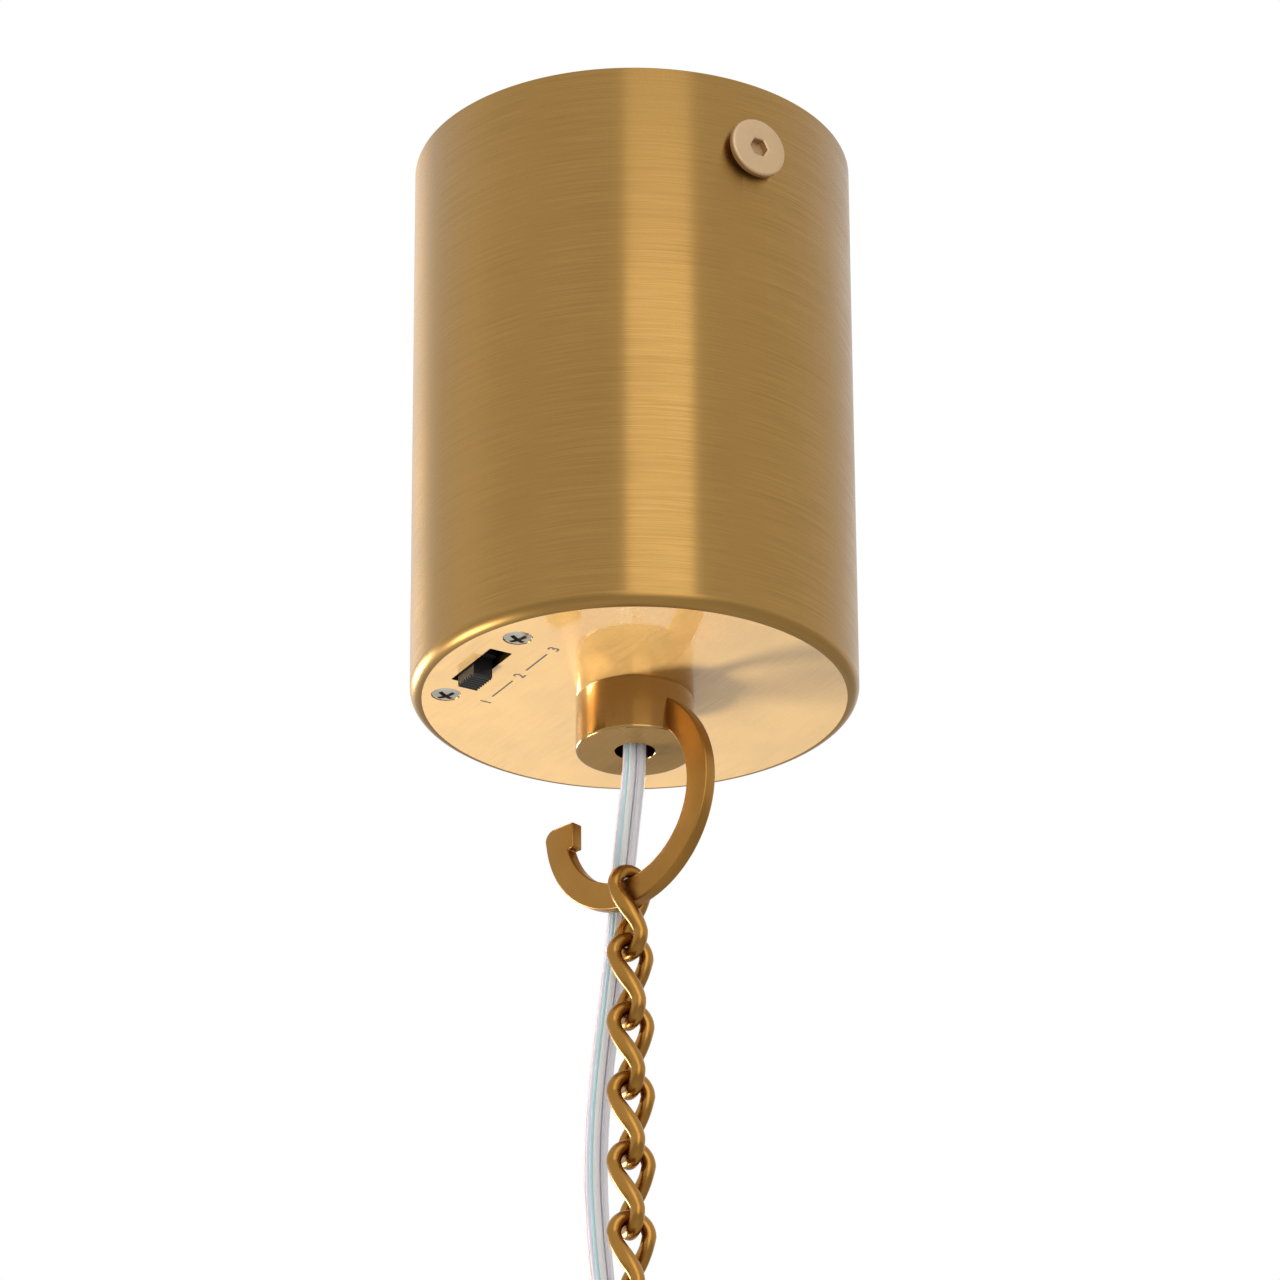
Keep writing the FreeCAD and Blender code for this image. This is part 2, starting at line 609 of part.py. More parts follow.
def terminal_block():
    """Three screw terminals for the house wires, under the bracket."""
    depth = ("block_y - block_depth/2", "block_y + block_depth/2")
    block = box("block_body", ("-block_half", "block_half"), depth, ("-block_drop", "-bracket_plate"))
    holes = []
    screws = []
    for index, x in enumerate(("-pole_pitch", "0", "pole_pitch")):
        holes.append(primitive("Cylinder", f"wire_tunnel_{index}", (x, depth[0] + " - 1", "-tunnel_drop"), 0.0,
                               BACKWARDS, Radius="tunnel_radius", Height="block_depth + 2"))
        holes.append(rod(f"screw_well_{index}", "well_radius", "-block_drop - 1", "-well_floor", x, "block_y"))
        screws.append(rod(f"terminal_screw_{index}", "well_radius - thread_gap", "-block_drop + 1",
                          "-well_floor - 0.1", x, "block_y"))
    holes.append(rod("block_screw_hole", "m3_radius + thread_gap", "-block_drop - 1", "0", *BLOCK_SCREW))
    node(cut("terminal_block", block, *holes))
    node(group("terminal_screws", *screws), 3)
    head = rod("block_screw_head", "block_head", "-block_drop - pan_height", "-block_drop", *BLOCK_SCREW)
    shank = rod("block_screw_shank", "m3_radius - thread_gap", "-block_drop", "-tip_room", *BLOCK_SCREW)
    node(fuse("terminal_block_screw", head, shank))


def earth_point():
    """The earth screw with its tag, under the bracket."""
    face = "-bracket_plate - tag_plate"
    head = rod("earth_cap", "earth_head", face + " - earth_height", face, *EARTH_SCREW)
    shank = rod("earth_shank", "side_thread - thread_gap", face, "-tip_room", *EARTH_SCREW)
    node(fuse("earth_screw", head, shank))
    eye = rod("earth_eye", "tag_eye", face, "-bracket_plate", *EARTH_SCREW)
    tongue = box("earth_tongue", ("earth_x - 2.5", "earth_x + 2.5"), ("earth_y + 2", "earth_y + 7"),
                 (face, "-bracket_plate"))
    hole = rod("earth_hole", "side_thread + thread_gap", face + " - 1", "0", *EARTH_SCREW)
    node(cut("earth_tag", fuse("earth_blank", eye, tongue), hole))


# ---------------------------------------------------------------- the colour switch

BASE_X = ("-sleeve_half + frame_wall", "sleeve_half - frame_wall")
BASE_Y = ("-frame_half_width + frame_wall", "frame_half_width - frame_wall")


def switch_frame():
    """The metal frame that the two screws hold to the canopy's floor."""
    wide = ("-frame_half_width", "frame_half_width")
    flange = box("frame_flange", ("-flange_half", "flange_half"), wide,
                 ("canopy_wall", "canopy_wall + flange_plate"))
    sleeve = box("frame_sleeve", ("-sleeve_half", "sleeve_half"), wide,
                 ("canopy_wall", "canopy_wall + sleeve_height"))
    window = box("frame_window", BASE_X, BASE_Y, ("0", "canopy_wall + sleeve_height + 1"))
    taps = [rod(f"frame_thread_{i}", "csk_thread", "0", "canopy_wall + flange_plate + 1", side + "switch_pitch/2")
            for i, side in enumerate(("-", ""))]
    node(at_switch(cut("switch_frame", fuse("frame_blank", flange, sleeve), window, *taps)))


def switch_base():
    """The insulating base with the knob's channel and the four terminals."""
    base = box("base_block", BASE_X, BASE_Y, ("canopy_wall", "canopy_wall + base_height"))
    channel = box("base_channel", ("-slot_length/2 - channel_end", "slot_length/2 + channel_end"),
                  ("-slot_width/2 - channel_side", "slot_width/2 + channel_side"),
                  ("0", "canopy_wall + channel_height"))
    pins = []
    pin_holes = []
    for index, x in enumerate(SWITCH_PINS):
        span = (f"{x} - pin_width/2", f"{x} + pin_width/2")
        depth = ("-pin_plate/2", "pin_plate/2")
        foot = "canopy_wall + channel_height"
        pin_holes.append(box(f"pin_hole_{index}", span, depth, (foot + " - 1", "canopy_wall + base_height + 1")))
        pins.append(box(f"terminal_{index}", span, depth, (foot, foot + " + pin_length")))
    node(at_switch(cut("switch_base", base, channel, *pin_holes)))
    node(at_switch(group("switch_terminals", *pins)), 4)


def switch_knob():
    """The ridged knob at the end of its travel, its shoe in the channel, and the sliding contact."""
    middle = D["switch_travel"] / -2
    shoe_face = "canopy_wall + shoe_floor"
    shoe_top = shoe_face + " + shoe_height"
    stem = box("knob_stem", (f"{middle} - knob_length/2", f"{middle} + knob_length/2"),
               ("-knob_width/2", "knob_width/2"), ("-knob_out", shoe_face + " + shoe_height/2"))
    shoe = box("knob_shoe", (f"{middle} - shoe_half", f"{middle} + shoe_half"),
               ("-shoe_half_width", "shoe_half_width"), (shoe_face, shoe_top))
    grooves = []
    pitch = D["knob_length"] / D["ridge_count"]
    for index in range(int(D["ridge_count"]) - 1):
        x = middle - D["knob_length"] / 2 + (index + 1) * pitch
        groove = primitive("Prism", f"knob_groove_{index}", (str(x), "-knob_width", "-knob_out"), 0.0, BACKWARDS,
                           Circumradius="ridge_depth", Height="2*knob_width")
        groove.Polygon = 4
        grooves.append(groove)
    node(at_switch(cut("switch_knob", fuse("knob_blank", stem, shoe), *grooves)))
    wide = ("-contact_half_width", "contact_half_width")
    bridge_top = shoe_top + " + contact_plate"
    leaf_top = "canopy_wall + channel_height - leaf_room"
    bridge = box("contact_bridge", (f"{middle} - contact_half", f"{middle} + contact_half"), wide,
                 (shoe_top, bridge_top))
    leaf_ends = (("-contact_half", "leaf_length - contact_half"), ("contact_half - leaf_length", "contact_half"))
    leaves = [box(f"contact_leaf_{i}", (f"{middle} + {low}", f"{middle} + {high}"), wide, (bridge_top, leaf_top))
              for i, (low, high) in enumerate(leaf_ends)]
    node(at_switch(fuse("switch_contact", bridge, *leaves)))


def switch_screws():
    """The two countersunk screws with cross recesses, flush in the canopy's floor."""
    screws = []
    bars = (("recess_length", "recess_width"), ("recess_width", "recess_length"))
    for index, side in enumerate(("-", "")):
        x = side + "switch_pitch/2"
        head = primitive("Cone", f"csk_head_{index}", (x, "0", "0"), Radius1="csk_radius - 0.05",
                         Radius2="csk_thread - thread_gap", Height="csk_height")
        shank = rod(f"csk_shank_{index}", "csk_thread - thread_gap", "csk_height", "csk_length", x)
        recess = []
        for number, (length, width) in enumerate(bars):
            recess.append(box(f"recess_{index}_{number}", (f"{x} - {length}/2", f"{x} + {length}/2"),
                              (f"-{width}/2", f"{width}/2"), ("-1", "recess_depth")))
        screws.append(cut(f"csk_screw_{index}", fuse(f"csk_blank_{index}", head, shank), *recess))
    node(at_switch(group("switch_screws", *screws)), 2)


# ---------------------------------------------------------------- the boss and the hook

FLOOR = "-canopy_height"
HOOK_AXIS = FreeCAD.Rotation(UP, -D["hook_turn"])
HOOK_FRAME = HOOK_AXIS.multiply(FreeCAD.Rotation(V(1, 0, 0), 90))   # X across, Y up, Z to the front


def at_hook(thing):
    """Place a piece that is drawn in the hook's plane, from the canopy's floor."""
    return place(thing, ("0", "0", FLOOR), 0.0, HOOK_FRAME)


def hook_boss():
    """A turned boss under the floor, with the cable's hole and a slot that follows the hook's ring."""
    blank = body("boss_blank")
    profile = sketch(blank, "XZ_Plane", "boss_profile")
    bottom = "-canopy_height - boss_height"
    shoulder = "-canopy_height - nipple_in_boss"
    outline(profile, [
        ("cord_hole", bottom),
        ("boss_radius - boss_edge", bottom),
        ("boss_radius", bottom + " + boss_edge"),
        ("boss_radius", FLOOR),
        ("nipple_radius", FLOOR),
        ("nipple_radius", shoulder),
        ("cord_hole", shoulder),
    ])
    feature(blank, "Revolution", "boss_turning", Profile=profile, ReferenceAxis=(profile, ["V_Axis"]), Angle=360)
    depth = ("hook_back", "hook_back + hook_plate")
    groove = box("slot_block", ("tang_start", "2*boss_radius"), ("-2*boss_height", "-tang_top"), depth)
    core = primitive("Cylinder", "slot_core", ("hook_shift", "-hook_drop", "hook_back - 1"),
                     Radius="hook_inner - slot_room", Height="hook_plate + 2")
    slot = cut("hook_slot", groove, core)
    boss = cut("hook_boss", blank, at_hook(slot))
    doc.recompute()
    if boss.Shape.Volume > blank.Shape.Volume - 1:
        raise RuntimeError("hook_boss: the slot removed nothing")
    node(boss)


def hook():
    """A flat open ring, drawn in its own plane with the canopy's floor at Y = 0."""
    centre = ("hook_shift", "-hook_drop", "hook_back")
    disc = primitive("Cylinder", "hook_disc", centre, Radius="hook_outer", Height="hook_plate")
    hole = primitive("Cylinder", "hook_hole", (centre[0], centre[1], "hook_back - 1"),
                     Radius="hook_inner", Height="hook_plate + 2")
    depth = ("hook_back - 1", "hook_back + hook_plate + 1")
    mouth = box("hook_mouth", ("-30", "tang_start"), ("tip_rise - hook_drop", "10"), depth)
    crown = box("hook_crown", ("tang_start - 1", "30"), ("-tang_top", "10"), depth)
    bent = cut("hook_ring", disc, hole, mouth, crown)
    edge = "hook_shift - hook_inner"
    lip = box("hook_lip", (edge + " - 1", edge + " + lip_reach"),
              ("tip_rise - hook_drop - lip_drop", "tip_rise - hook_drop"),
              ("hook_back", "hook_back + hook_plate"))
    blank = fuse("hook_blank", bent, lip)
    doc.recompute()
    tip_height = D["tip_rise"] - D["hook_drop"]

    def outer_corner(line):
        middle = line.CenterOfMass
        upright = abs(line.Length - D["hook_plate"]) < 0.01
        outer = middle.x < D["hook_shift"] - D["hook_outer"] + 0.1
        return upright and outer and abs(middle.y - tip_height) < 0.01

    rounded = doc.addObject("Part::Fillet", "hook_tip")
    rounded.Base = blank
    radius = D["tip_round"]
    rounded.Edges = [(int(name[4:]), radius, radius) for name in edge_names(blank.Shape, outer_corner)]
    doc.recompute()

    def long_edge(line):
        if not isinstance(line.Curve, Part.Circle) or abs(line.Curve.Axis.z) < 0.99:
            return False
        return min(abs(line.Curve.Radius - D[size]) for size in ("hook_outer", "hook_inner")) < 0.01

    smooth = doc.addObject("Part::Fillet", "hook_edges")
    smooth.Base = rounded
    radius = D["hook_edge"]
    smooth.Edges = [(int(name[4:]), radius, radius) for name in edge_names(rounded.Shape, long_edge)]
    node(at_hook(group("hook", smooth)))


def nipple():
    """The hollow nipple that clamps the boss to the floor, with its nut, washer and cord grip."""
    low = "-canopy_height - nipple_in_boss"
    high = low + " + nipple_length"
    inside = "canopy_wall - canopy_height"
    thread = "nipple_radius - thread_gap"
    outer = rod("nipple_rod", thread, low, high)
    node(cut("nipple", outer, rod("nipple_hole", "nipple_bore", low + " - 1", high + " + 1")))
    washer_top = inside + " + washer_height"
    disc = rod("washer_disc", "washer_radius", inside, washer_top)
    node(cut("nipple_washer", disc, rod("washer_hole", "nipple_radius", inside + " - 1", washer_top + " + 1")))
    nut = primitive("Prism", "nut_prism", ("0", "0", washer_top), Circumradius="nut_flats/sqrt(3)",
                    Height="nut_height")
    nut.Polygon = 6
    nut_hole = rod("nut_hole", "nipple_radius", washer_top + " - 1", washer_top + " + nut_height + 1")
    node(cut("nipple_nut", nut, nut_hole))
    grip = rod("grip_rod", "grip_radius", high + " - grip_skirt", high + " + grip_rise")
    socket = rod("grip_socket", "nipple_radius", high + " - grip_skirt - 1", high)
    throat = rod("grip_throat", "cord_size/2 + 0.1", high + " - 1", high + " + grip_rise + 1")
    level = high + " + grip_rise/2"
    tap = primitive("Cylinder", "grip_tap", ("0", "0", level), 0.0, SIDEWAYS, Radius="m3_radius",
                    Height="grip_radius + 1")
    node(cut("cord_grip", grip, socket, throat, tap))
    node(primitive("Cylinder", "cord_grip_screw", ("cord_size/2", "0", level), 0.0, SIDEWAYS,
                   Radius="m3_radius - thread_gap", Height="grip_screw"))


# ---------------------------------------------------------------- the chain

SHOULDER_BEND = 1.3         # reach of the bends between a half ring and a leg
WAIST_BEND = 2.0            # reach of the bend in the middle of a leg
SAME_POINT = 0.001          # points nearer than this are one
LINK_HALF_LENGTH = (D["link_pitch"] + D["wire_size"] + D["link_gap"]) / 2     # at the wire's middle
CROWN = D["link_half"] - D["wire_size"] / 2 - D["hook_edge"]                  # to the middle of a rounded edge
SEAT_RISE = CROWN - math.sqrt(CROWN ** 2 - (D["hook_plate"] / 2 - D["hook_edge"]) ** 2)
CHAIN_POINT = HOOK_FRAME.multVec(V(D["hook_shift"], -D["hook_drop"] - D["hook_inner"] + SEAT_RISE + D["link_gap"],
                                   D["hook_back"] + D["hook_plate"] / 2))
CHAIN_TOP = CHAIN_POINT.z - D["canopy_height"] + D["wire_size"] / 2           # middle of the first wire


def link_halves():
    """The two open halves of a link's middle line, from the top of one half ring to the
    bottom of the other, which lies at right angles to it, along a twisted leg."""
    half = D["link_half"]
    waist = D["link_waist"] * math.sqrt(0.5)
    shoulder = LINK_HALF_LENGTH - half
    quarter = half * math.sqrt(0.5)
    halves = []
    for side in (1, -1):
        start = V(side * half, 0, shoulder)
        end = V(0, side * half, -shoulder)
        corners = [start - UP * SHOULDER_BEND, V(side * waist, side * waist, 0), end + UP * SHOULDER_BEND]
        edges = [Part.Arc(V(0, 0, shoulder + half), V(side * quarter, 0, shoulder + quarter), start).toShape()]
        last = start
        points = [start, *corners, end]
        bends = (SHOULDER_BEND, WAIST_BEND, SHOULDER_BEND)
        for before, corner, after, reach in zip(points, corners, points[2:], bends):
            first, middle, following = corner_arc(before, corner, after, reach)
            if (first - last).Length > SAME_POINT:
                edges.append(Part.LineSegment(last, first).toShape())
            edges.append(Part.Arc(first, middle, following).toShape())
            last = following
        lower = (V(0, side * quarter, -shoulder - quarter), V(0, 0, -shoulder - half))
        edges.append(Part.Arc(end, *lower).toShape())
        halves.append(Part.Wire(edges))
    return halves


def chain():
    """Twisted curb links, each hanging in the one above."""
    halves = [swept(path, D["wire_size"] / 2) for path in link_halves()]
    solid = halves[0].fuse(halves[1]).removeSplitter()
    for index, turn in enumerate(LINK_TURNS):
        link = doc.addObject("Part::Feature", f"chain_link_{index + 1}")
        link.Shape = solid
        height = CHAIN_TOP - LINK_HALF_LENGTH - index * D["link_pitch"]
        link.Placement = FreeCAD.Placement(V(CHAIN_POINT.x, CHAIN_POINT.y, height), FreeCAD.Rotation(UP, turn))
        node(link)


# ---------------------------------------------------------------- the cable and the leads

def cable():
    """The clear cable and the connector at its end."""
    node(tube("cable", CORD_ROUTE, D["cord_size"] / 2))
    x, y, z = (str(value) for value in CORD_ROUTE[-1])
    neck_end = f"{z} - neck_length"
    block_end = neck_end + " - connector_length"
    neck = rod("connector_neck", "neck_radius", neck_end, z, x, y)
    shell = box("connector_block", (f"{x} - connector_width/2", f"{x} + connector_width/2"),
                (f"{y} - connector_depth/2", f"{y} + connector_depth/2"), (block_end, neck_end))
    node(fuse("cable_connector", neck, shell))
    prongs = [rod(f"prong_{i}", "prong_radius", block_end + " - prong_length", block_end,
                  f"{x} {side} prong_spacing/2", y) for i, side in enumerate("-+")]
    node(group("connector_pins", *prongs), 2)


def leads():
    """The insulated leads inside the canopy, each ending on the driver's board."""
    board = D["board_front"]
    grip_top = CORD_ROUTE[0][2]
    output_level = -60
    output = [tube(f"output_lead_{i}", [(x, 0, grip_top), (x, 0, output_level), (x, board, output_level)],
                   D["lead_radius"]) for i, x in enumerate(OUTPUT_LEADS)]
    node(group("output_leads", *output), 2)
    turn = FreeCAD.Rotation(UP, D["switch_turn"])
    middle = V(D["switch_x"], D["switch_y"], 0)
    pin_top = D["canopy_wall"] + D["channel_height"] + D["pin_length"] - D["canopy_height"]
    colour_level = -56
    colours = []
    for index, (pin, x) in enumerate(zip(SWITCH_PINS, COLOUR_LEADS)):
        foot = middle + turn.multVec(V(pin, 0, 0))
        route = [(foot.x, foot.y, pin_top), (foot.x, foot.y, -82), (x, 0, -78), (x, 0, colour_level),
                 (x, board, colour_level)]
        colours.append(tube(f"switch_lead_{index}", route, D["lead_radius"]))
    node(group("switch_leads", *colours), 3)
    tunnel = -D["tunnel_drop"]
    mains_level = -24
    mains = []
    for index, x in enumerate(MAINS_LEADS):
        route = [(x, -18, tunnel), (x, 2, tunnel), (x, 2, mains_level), (x, board, mains_level)]
        mains.append(tube(f"mains_lead_{index}", route, D["lead_radius"]))
    node(group("mains_leads", *mains), 2)


# ---------------------------------------------------------------- build, check and write

canopy_shell()
ceiling_bracket()
side_screws()
driver_case()
driver()
terminal_block()
earth_point()
switch_frame()
switch_base()
switch_knob()
switch_screws()
hook_boss()
hook()
nipple()
chain()
cable()
leads()
doc.recompute()

for thing in doc.Objects:
    if "Invalid" in thing.State or "Error" in thing.State:
        raise RuntimeError(f"{thing.Label}: {thing.State}")
for thing, solids in NODES:
    shape = thing.Shape
    if shape.isNull() or not shape.isValid() or len(shape.Solids) != solids:
        raise RuntimeError(f"{thing.Label}: bad shape with {len(shape.Solids)} solids")
for thing, solids in NODES:
    shape = thing.Shape
    limits = shape.BoundBox
    print(f"{thing.Label:22s} volume {shape.Volume:9.1f}  z {limits.ZMin:8.2f} {limits.ZMax:8.2f}")
    shape.exportStep(f"parts/{thing.Label}.step")
print(len(NODES), "nodes")
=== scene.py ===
import math

import bmesh
import bpy
from mathutils import Matrix, Vector


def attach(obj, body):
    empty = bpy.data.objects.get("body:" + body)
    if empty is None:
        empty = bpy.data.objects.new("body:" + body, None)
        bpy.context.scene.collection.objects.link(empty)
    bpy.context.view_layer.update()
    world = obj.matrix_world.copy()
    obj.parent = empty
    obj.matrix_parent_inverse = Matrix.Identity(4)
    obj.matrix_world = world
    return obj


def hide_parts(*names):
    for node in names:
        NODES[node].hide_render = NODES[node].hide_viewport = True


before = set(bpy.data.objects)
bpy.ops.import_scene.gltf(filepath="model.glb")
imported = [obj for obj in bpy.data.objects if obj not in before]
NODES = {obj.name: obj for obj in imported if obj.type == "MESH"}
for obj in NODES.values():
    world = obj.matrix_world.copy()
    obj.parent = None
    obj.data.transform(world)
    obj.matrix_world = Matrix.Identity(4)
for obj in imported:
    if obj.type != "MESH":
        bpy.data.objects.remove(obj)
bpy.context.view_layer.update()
scene = bpy.context.scene
MM = 0.001
UP = Vector((0, 0, 1))


# ---------------------------------------------------------------- camera

LENS = 186.08
PITCH = math.radians(25.728)
ROLL = math.radians(-0.316)
SIDEWAYS = 0.00041
VIEWPOINT = (0.0005, -0.9978, -0.5697)
camera = bpy.data.objects.new("camera", bpy.data.cameras.new("camera"))
camera.data.sensor_width = 36
camera.data.lens = LENS
camera.data.clip_start = 0.05
camera.data.clip_end = 20
ahead = Vector((SIDEWAYS, math.cos(PITCH), math.sin(PITCH)))
across = ahead.cross(UP).normalized()
above = across.cross(ahead)
right = math.cos(ROLL) * across + math.sin(ROLL) * above
upright = math.cos(ROLL) * above - math.sin(ROLL) * across
turned = Matrix((right, upright, -ahead)).transposed()
camera.matrix_world = Matrix.Translation(VIEWPOINT) @ turned.to_4x4()
scene.collection.objects.link(camera)
scene.camera = camera


# ---------------------------------------------------------------- meshes, in millimetres

def obj_from(name, mesh, body, *materials):
    piece = bpy.data.objects.new(name, mesh)
    scene.collection.objects.link(piece)
    for material in materials:
        mesh.materials.append(material)
    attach(piece, body)
    return piece


def smooth(mesh, angle=35):
    for face in mesh.polygons:
        face.use_smooth = True
    mesh.set_sharp_from_angle(angle=math.radians(angle))


def mesh_from(name, points, faces, angle=35):
    mesh = bpy.data.meshes.new(name)
    mesh.from_pydata([Vector(p) * MM for p in points], [], faces)
    work = bmesh.new()
    work.from_mesh(mesh)
    bmesh.ops.remove_doubles(work, verts=work.verts, dist=1e-7)
    bmesh.ops.recalc_face_normals(work, faces=work.faces)
    work.to_mesh(mesh)
    work.free()
    smooth(mesh, angle)
    return mesh


def skin(name, rings, loop=False, caps=False, angle=35):
    """Quads between rings of equal count; loop joins the last ring to the first."""
    count = len(rings[0])
    points = [p for ring in rings for p in ring]
    faces = []
    last = len(rings) if loop else len(rings) - 1
    for i in range(last):
        j = (i + 1) % len(rings)
        for k in range(count):
            m = (k + 1) % count
            faces.append((i * count + k, i * count + m, j * count + m, j * count + k))
    if caps:
        faces.append(tuple(range(count)))
        faces.append(tuple(range((len(rings) - 1) * count, len(rings) * count)))
    return mesh_from(name, points, faces, angle)


def turned_mesh(name, profile, segments=96, angle=35, place=None):
    """A closed profile of (radius, height) turned about Z; place maps a point to the row frame."""
    place = place or (lambda p: p)
    rings = []
    for k in range(segments):
        a = 2 * math.pi * k / segments
        rings.append([place(Vector((r * math.cos(a), r * math.sin(a), z))) for r, z in profile])
    return skin(name, rings, loop=True, angle=angle)


def arc(cx, cz, radius, start, end, steps):
    """Points of an arc, by angles in degrees."""
    out = []
    for i in range(steps + 1):
        a = math.radians(start + (end - start) * i / steps)
        out.append((cx + radius * math.cos(a), cz + radius * math.sin(a)))
    return out


def extruded(name, outline, place, low, high, angle=35):
    """An outline of (x, y) between two heights; place maps (x, y, height)."""
    rings = [[place(Vector((x, y, h))) for x, y in outline] for h in (low, high)]
    return skin(name, rings, caps=True, angle=angle)


def settle(piece, angle=35):
    """Apply a piece's modifiers to its mesh."""
    bpy.context.view_layer.update()
    graph = bpy.context.evaluated_depsgraph_get()
    made = bpy.data.meshes.new_from_object(piece.evaluated_get(graph))
    old = piece.data
    piece.modifiers.clear()
    piece.data = made
    bpy.data.meshes.remove(old)
    smooth(made, angle)
    return piece


def rounded(piece, width, segments=3, limit=40, angle=35):
    """Round the sharp edges, width in millimetres."""
    mod = piece.modifiers.new("round", "BEVEL")
    mod.width = width * MM
    mod.segments = segments
    mod.limit_method = "ANGLE"
    mod.angle_limit = math.radians(limit)
    return settle(piece, angle)


def cut_away(piece, *cutters, angle=35):
    """Cut meshes out of a piece."""
    tools = []
    for index, mesh in enumerate(cutters):
        tool = bpy.data.objects.new(f"cutter_{index}", mesh)
        scene.collection.objects.link(tool)
        mod = piece.modifiers.new("cut", "BOOLEAN")
        mod.object = tool
        mod.operation = "DIFFERENCE"
        mod.solver = "EXACT"
        tools.append(tool)
    settle(piece, angle)
    for tool in tools:
        bpy.data.objects.remove(tool)
    return piece


def transported(points, closed):
    """A side vector for each point of a line, without twist."""
    count = len(points)
    ways = []
    for i in range(count):
        a = points[i - 1] if closed or i else points[i]
        b = points[(i + 1) % count] if closed or i < count - 1 else points[i]
        ways.append((b - a).normalized())
    side = ways[0].orthogonal().normalized()
    sides = [side]
    for i in range(1, count):
        side = (side - ways[i] * side.dot(ways[i])).normalized()
        sides.append(side)
    if closed:
        end = (side - ways[0] * side.dot(ways[0])).normalized()
        slip = math.atan2(end.cross(sides[0]).dot(ways[0]), end.dot(sides[0]))
        sides = [Matrix.Rotation(slip * i / count, 3, ways[i]) @ s for i, s in enumerate(sides)]
    return ways, sides


def wire(name, points, radius, sides=16, closed=False):
    """A round wire along points."""
    ways, normals = transported(points, closed)
    rings = []
    for point, way, side in zip(points, ways, normals):
        other = way.cross(side)
        ring = []
        for k in range(sides):
            a = 2 * math.pi * k / sides
            ring.append(point + (side * math.cos(a) + other * math.sin(a)) * radius)
        rings.append(ring)
    return skin(name, rings, loop=closed, caps=not closed, angle=60)


# ---------------------------------------------------------------- node materials

class Nodes:
    """A small helper that makes and links nodes."""

    def __init__(self, name):
        self.material = bpy.data.materials.new(name)
        self.material.use_nodes = True
        self.tree = self.material.node_tree
        self.shader = self.tree.nodes["Principled BSDF"]

    def make(self, kind, **values):
        made = self.tree.nodes.new(kind)
        for key, value in values.items():
            setattr(made, key, value)
        return made

    def link(self, a, b):
        self.tree.links.new(a, b)

    def set(self, **values):
        for key, value in values.items():
            self.shader.inputs[key.replace("_", " ")].default_value = value

    def coords(self, scale, turn=0.0):
        """Object coordinates, turned about Z and then scaled."""
        source = self.make("ShaderNodeTexCoord").outputs["Object"]
        if turn:
            rotate = self.make("ShaderNodeMapping")
            rotate.inputs["Rotation"].default_value = (0, 0, math.radians(turn))
            self.link(source, rotate.inputs["Vector"])
            source = rotate.outputs["Vector"]
        mapping = self.make("ShaderNodeMapping")
        mapping.inputs["Scale"].default_value = scale
        self.link(source, mapping.inputs["Vector"])
        return mapping.outputs["Vector"]

    def noise(self, vector, scale=1.0, detail=3.0, rough=0.6):
        tex = self.make("ShaderNodeTexNoise")
        tex.inputs["Scale"].default_value = scale
        tex.inputs["Detail"].default_value = detail
        tex.inputs["Roughness"].default_value = rough
        self.link(vector, tex.inputs["Vector"])
        return tex.outputs["Fac"]

    def span(self, value, low, high, start=0.3, end=0.7):
        tex = self.make("ShaderNodeMapRange")
        for key, number in (("From Min", start), ("From Max", end), ("To Min", low), ("To Max", high)):
            tex.inputs[key].default_value = number
        self.link(value, tex.inputs["Value"])
        return tex.outputs["Result"]

    def blend(self, factor, one, two):
        mix = self.make("ShaderNodeMix", data_type="RGBA")
        for socket, value in (("A", one), ("B", two)):
            next(s for s in mix.inputs if s.name == socket and s.type == "RGBA").default_value = (*value, 1)
        self.link(factor, mix.inputs["Factor"])
        return next(s for s in mix.outputs if s.type == "RGBA")

    def bump(self, height, strength, distance):
        node = self.make("ShaderNodeBump")
        node.inputs["Strength"].default_value = strength
        node.inputs["Distance"].default_value = distance * MM
        self.link(height, node.inputs["Height"])
        self.link(node.outputs["Normal"], self.shader.inputs["Normal"])

    def tangent(self, direction):
        vector = self.make("ShaderNodeCombineXYZ")
        for socket, value in zip("XYZ", direction):
            vector.inputs[socket].default_value = value
        self.link(vector.outputs["Vector"], self.shader.inputs["Tangent"])


def brushed(name, light, dark, scale, turn, blur, rough, anisotropic, bump=0.05, **values):
    """Brushed metal: fine scratches along one way, and reflections that spread across them."""
    m = Nodes(name)
    m.set(Metallic=1.0, Anisotropic=anisotropic, **values)
    fine = m.noise(m.coords(scale, turn), 1.0, 4.0, 0.65)
    cloud = m.noise(m.coords((60, 60, 60)), 1.0, 2.0, 0.5)
    m.link(m.blend(m.span(fine, 0.0, 1.0), dark, light), m.shader.inputs["Base Color"])
    grain = m.span(fine, rough + 0.05, rough - 0.05)
    total = m.make("ShaderNodeMath", operation="ADD")
    m.link(grain, total.inputs[0])
    m.link(m.span(cloud, -0.02, 0.02), total.inputs[1])
    m.link(total.outputs[0], m.shader.inputs["Roughness"])
    m.tangent(blur)
    m.bump(fine, bump, 0.05)
    return m.material


def plain(name, light, dark, rough, metallic=0.0, scale=900.0, bump=0.08, **values):
    """Moulded plastic, plated or painted metal, with a fine grain and slight colour variation."""
    m = Nodes(name)
    m.set(Metallic=metallic, **values)
    grain = m.noise(m.coords((scale, scale, scale)), 1.0, 3.0, 0.6)
    cloud = m.noise(m.coords((90, 90, 90)), 1.0, 2.0, 0.5)
    m.link(m.blend(m.span(cloud, 0.0, 1.0), dark, light), m.shader.inputs["Base Color"])
    m.link(m.span(grain, rough - 0.06, rough + 0.06), m.shader.inputs["Roughness"])
    m.bump(grain, bump, 0.05)
    return m.material


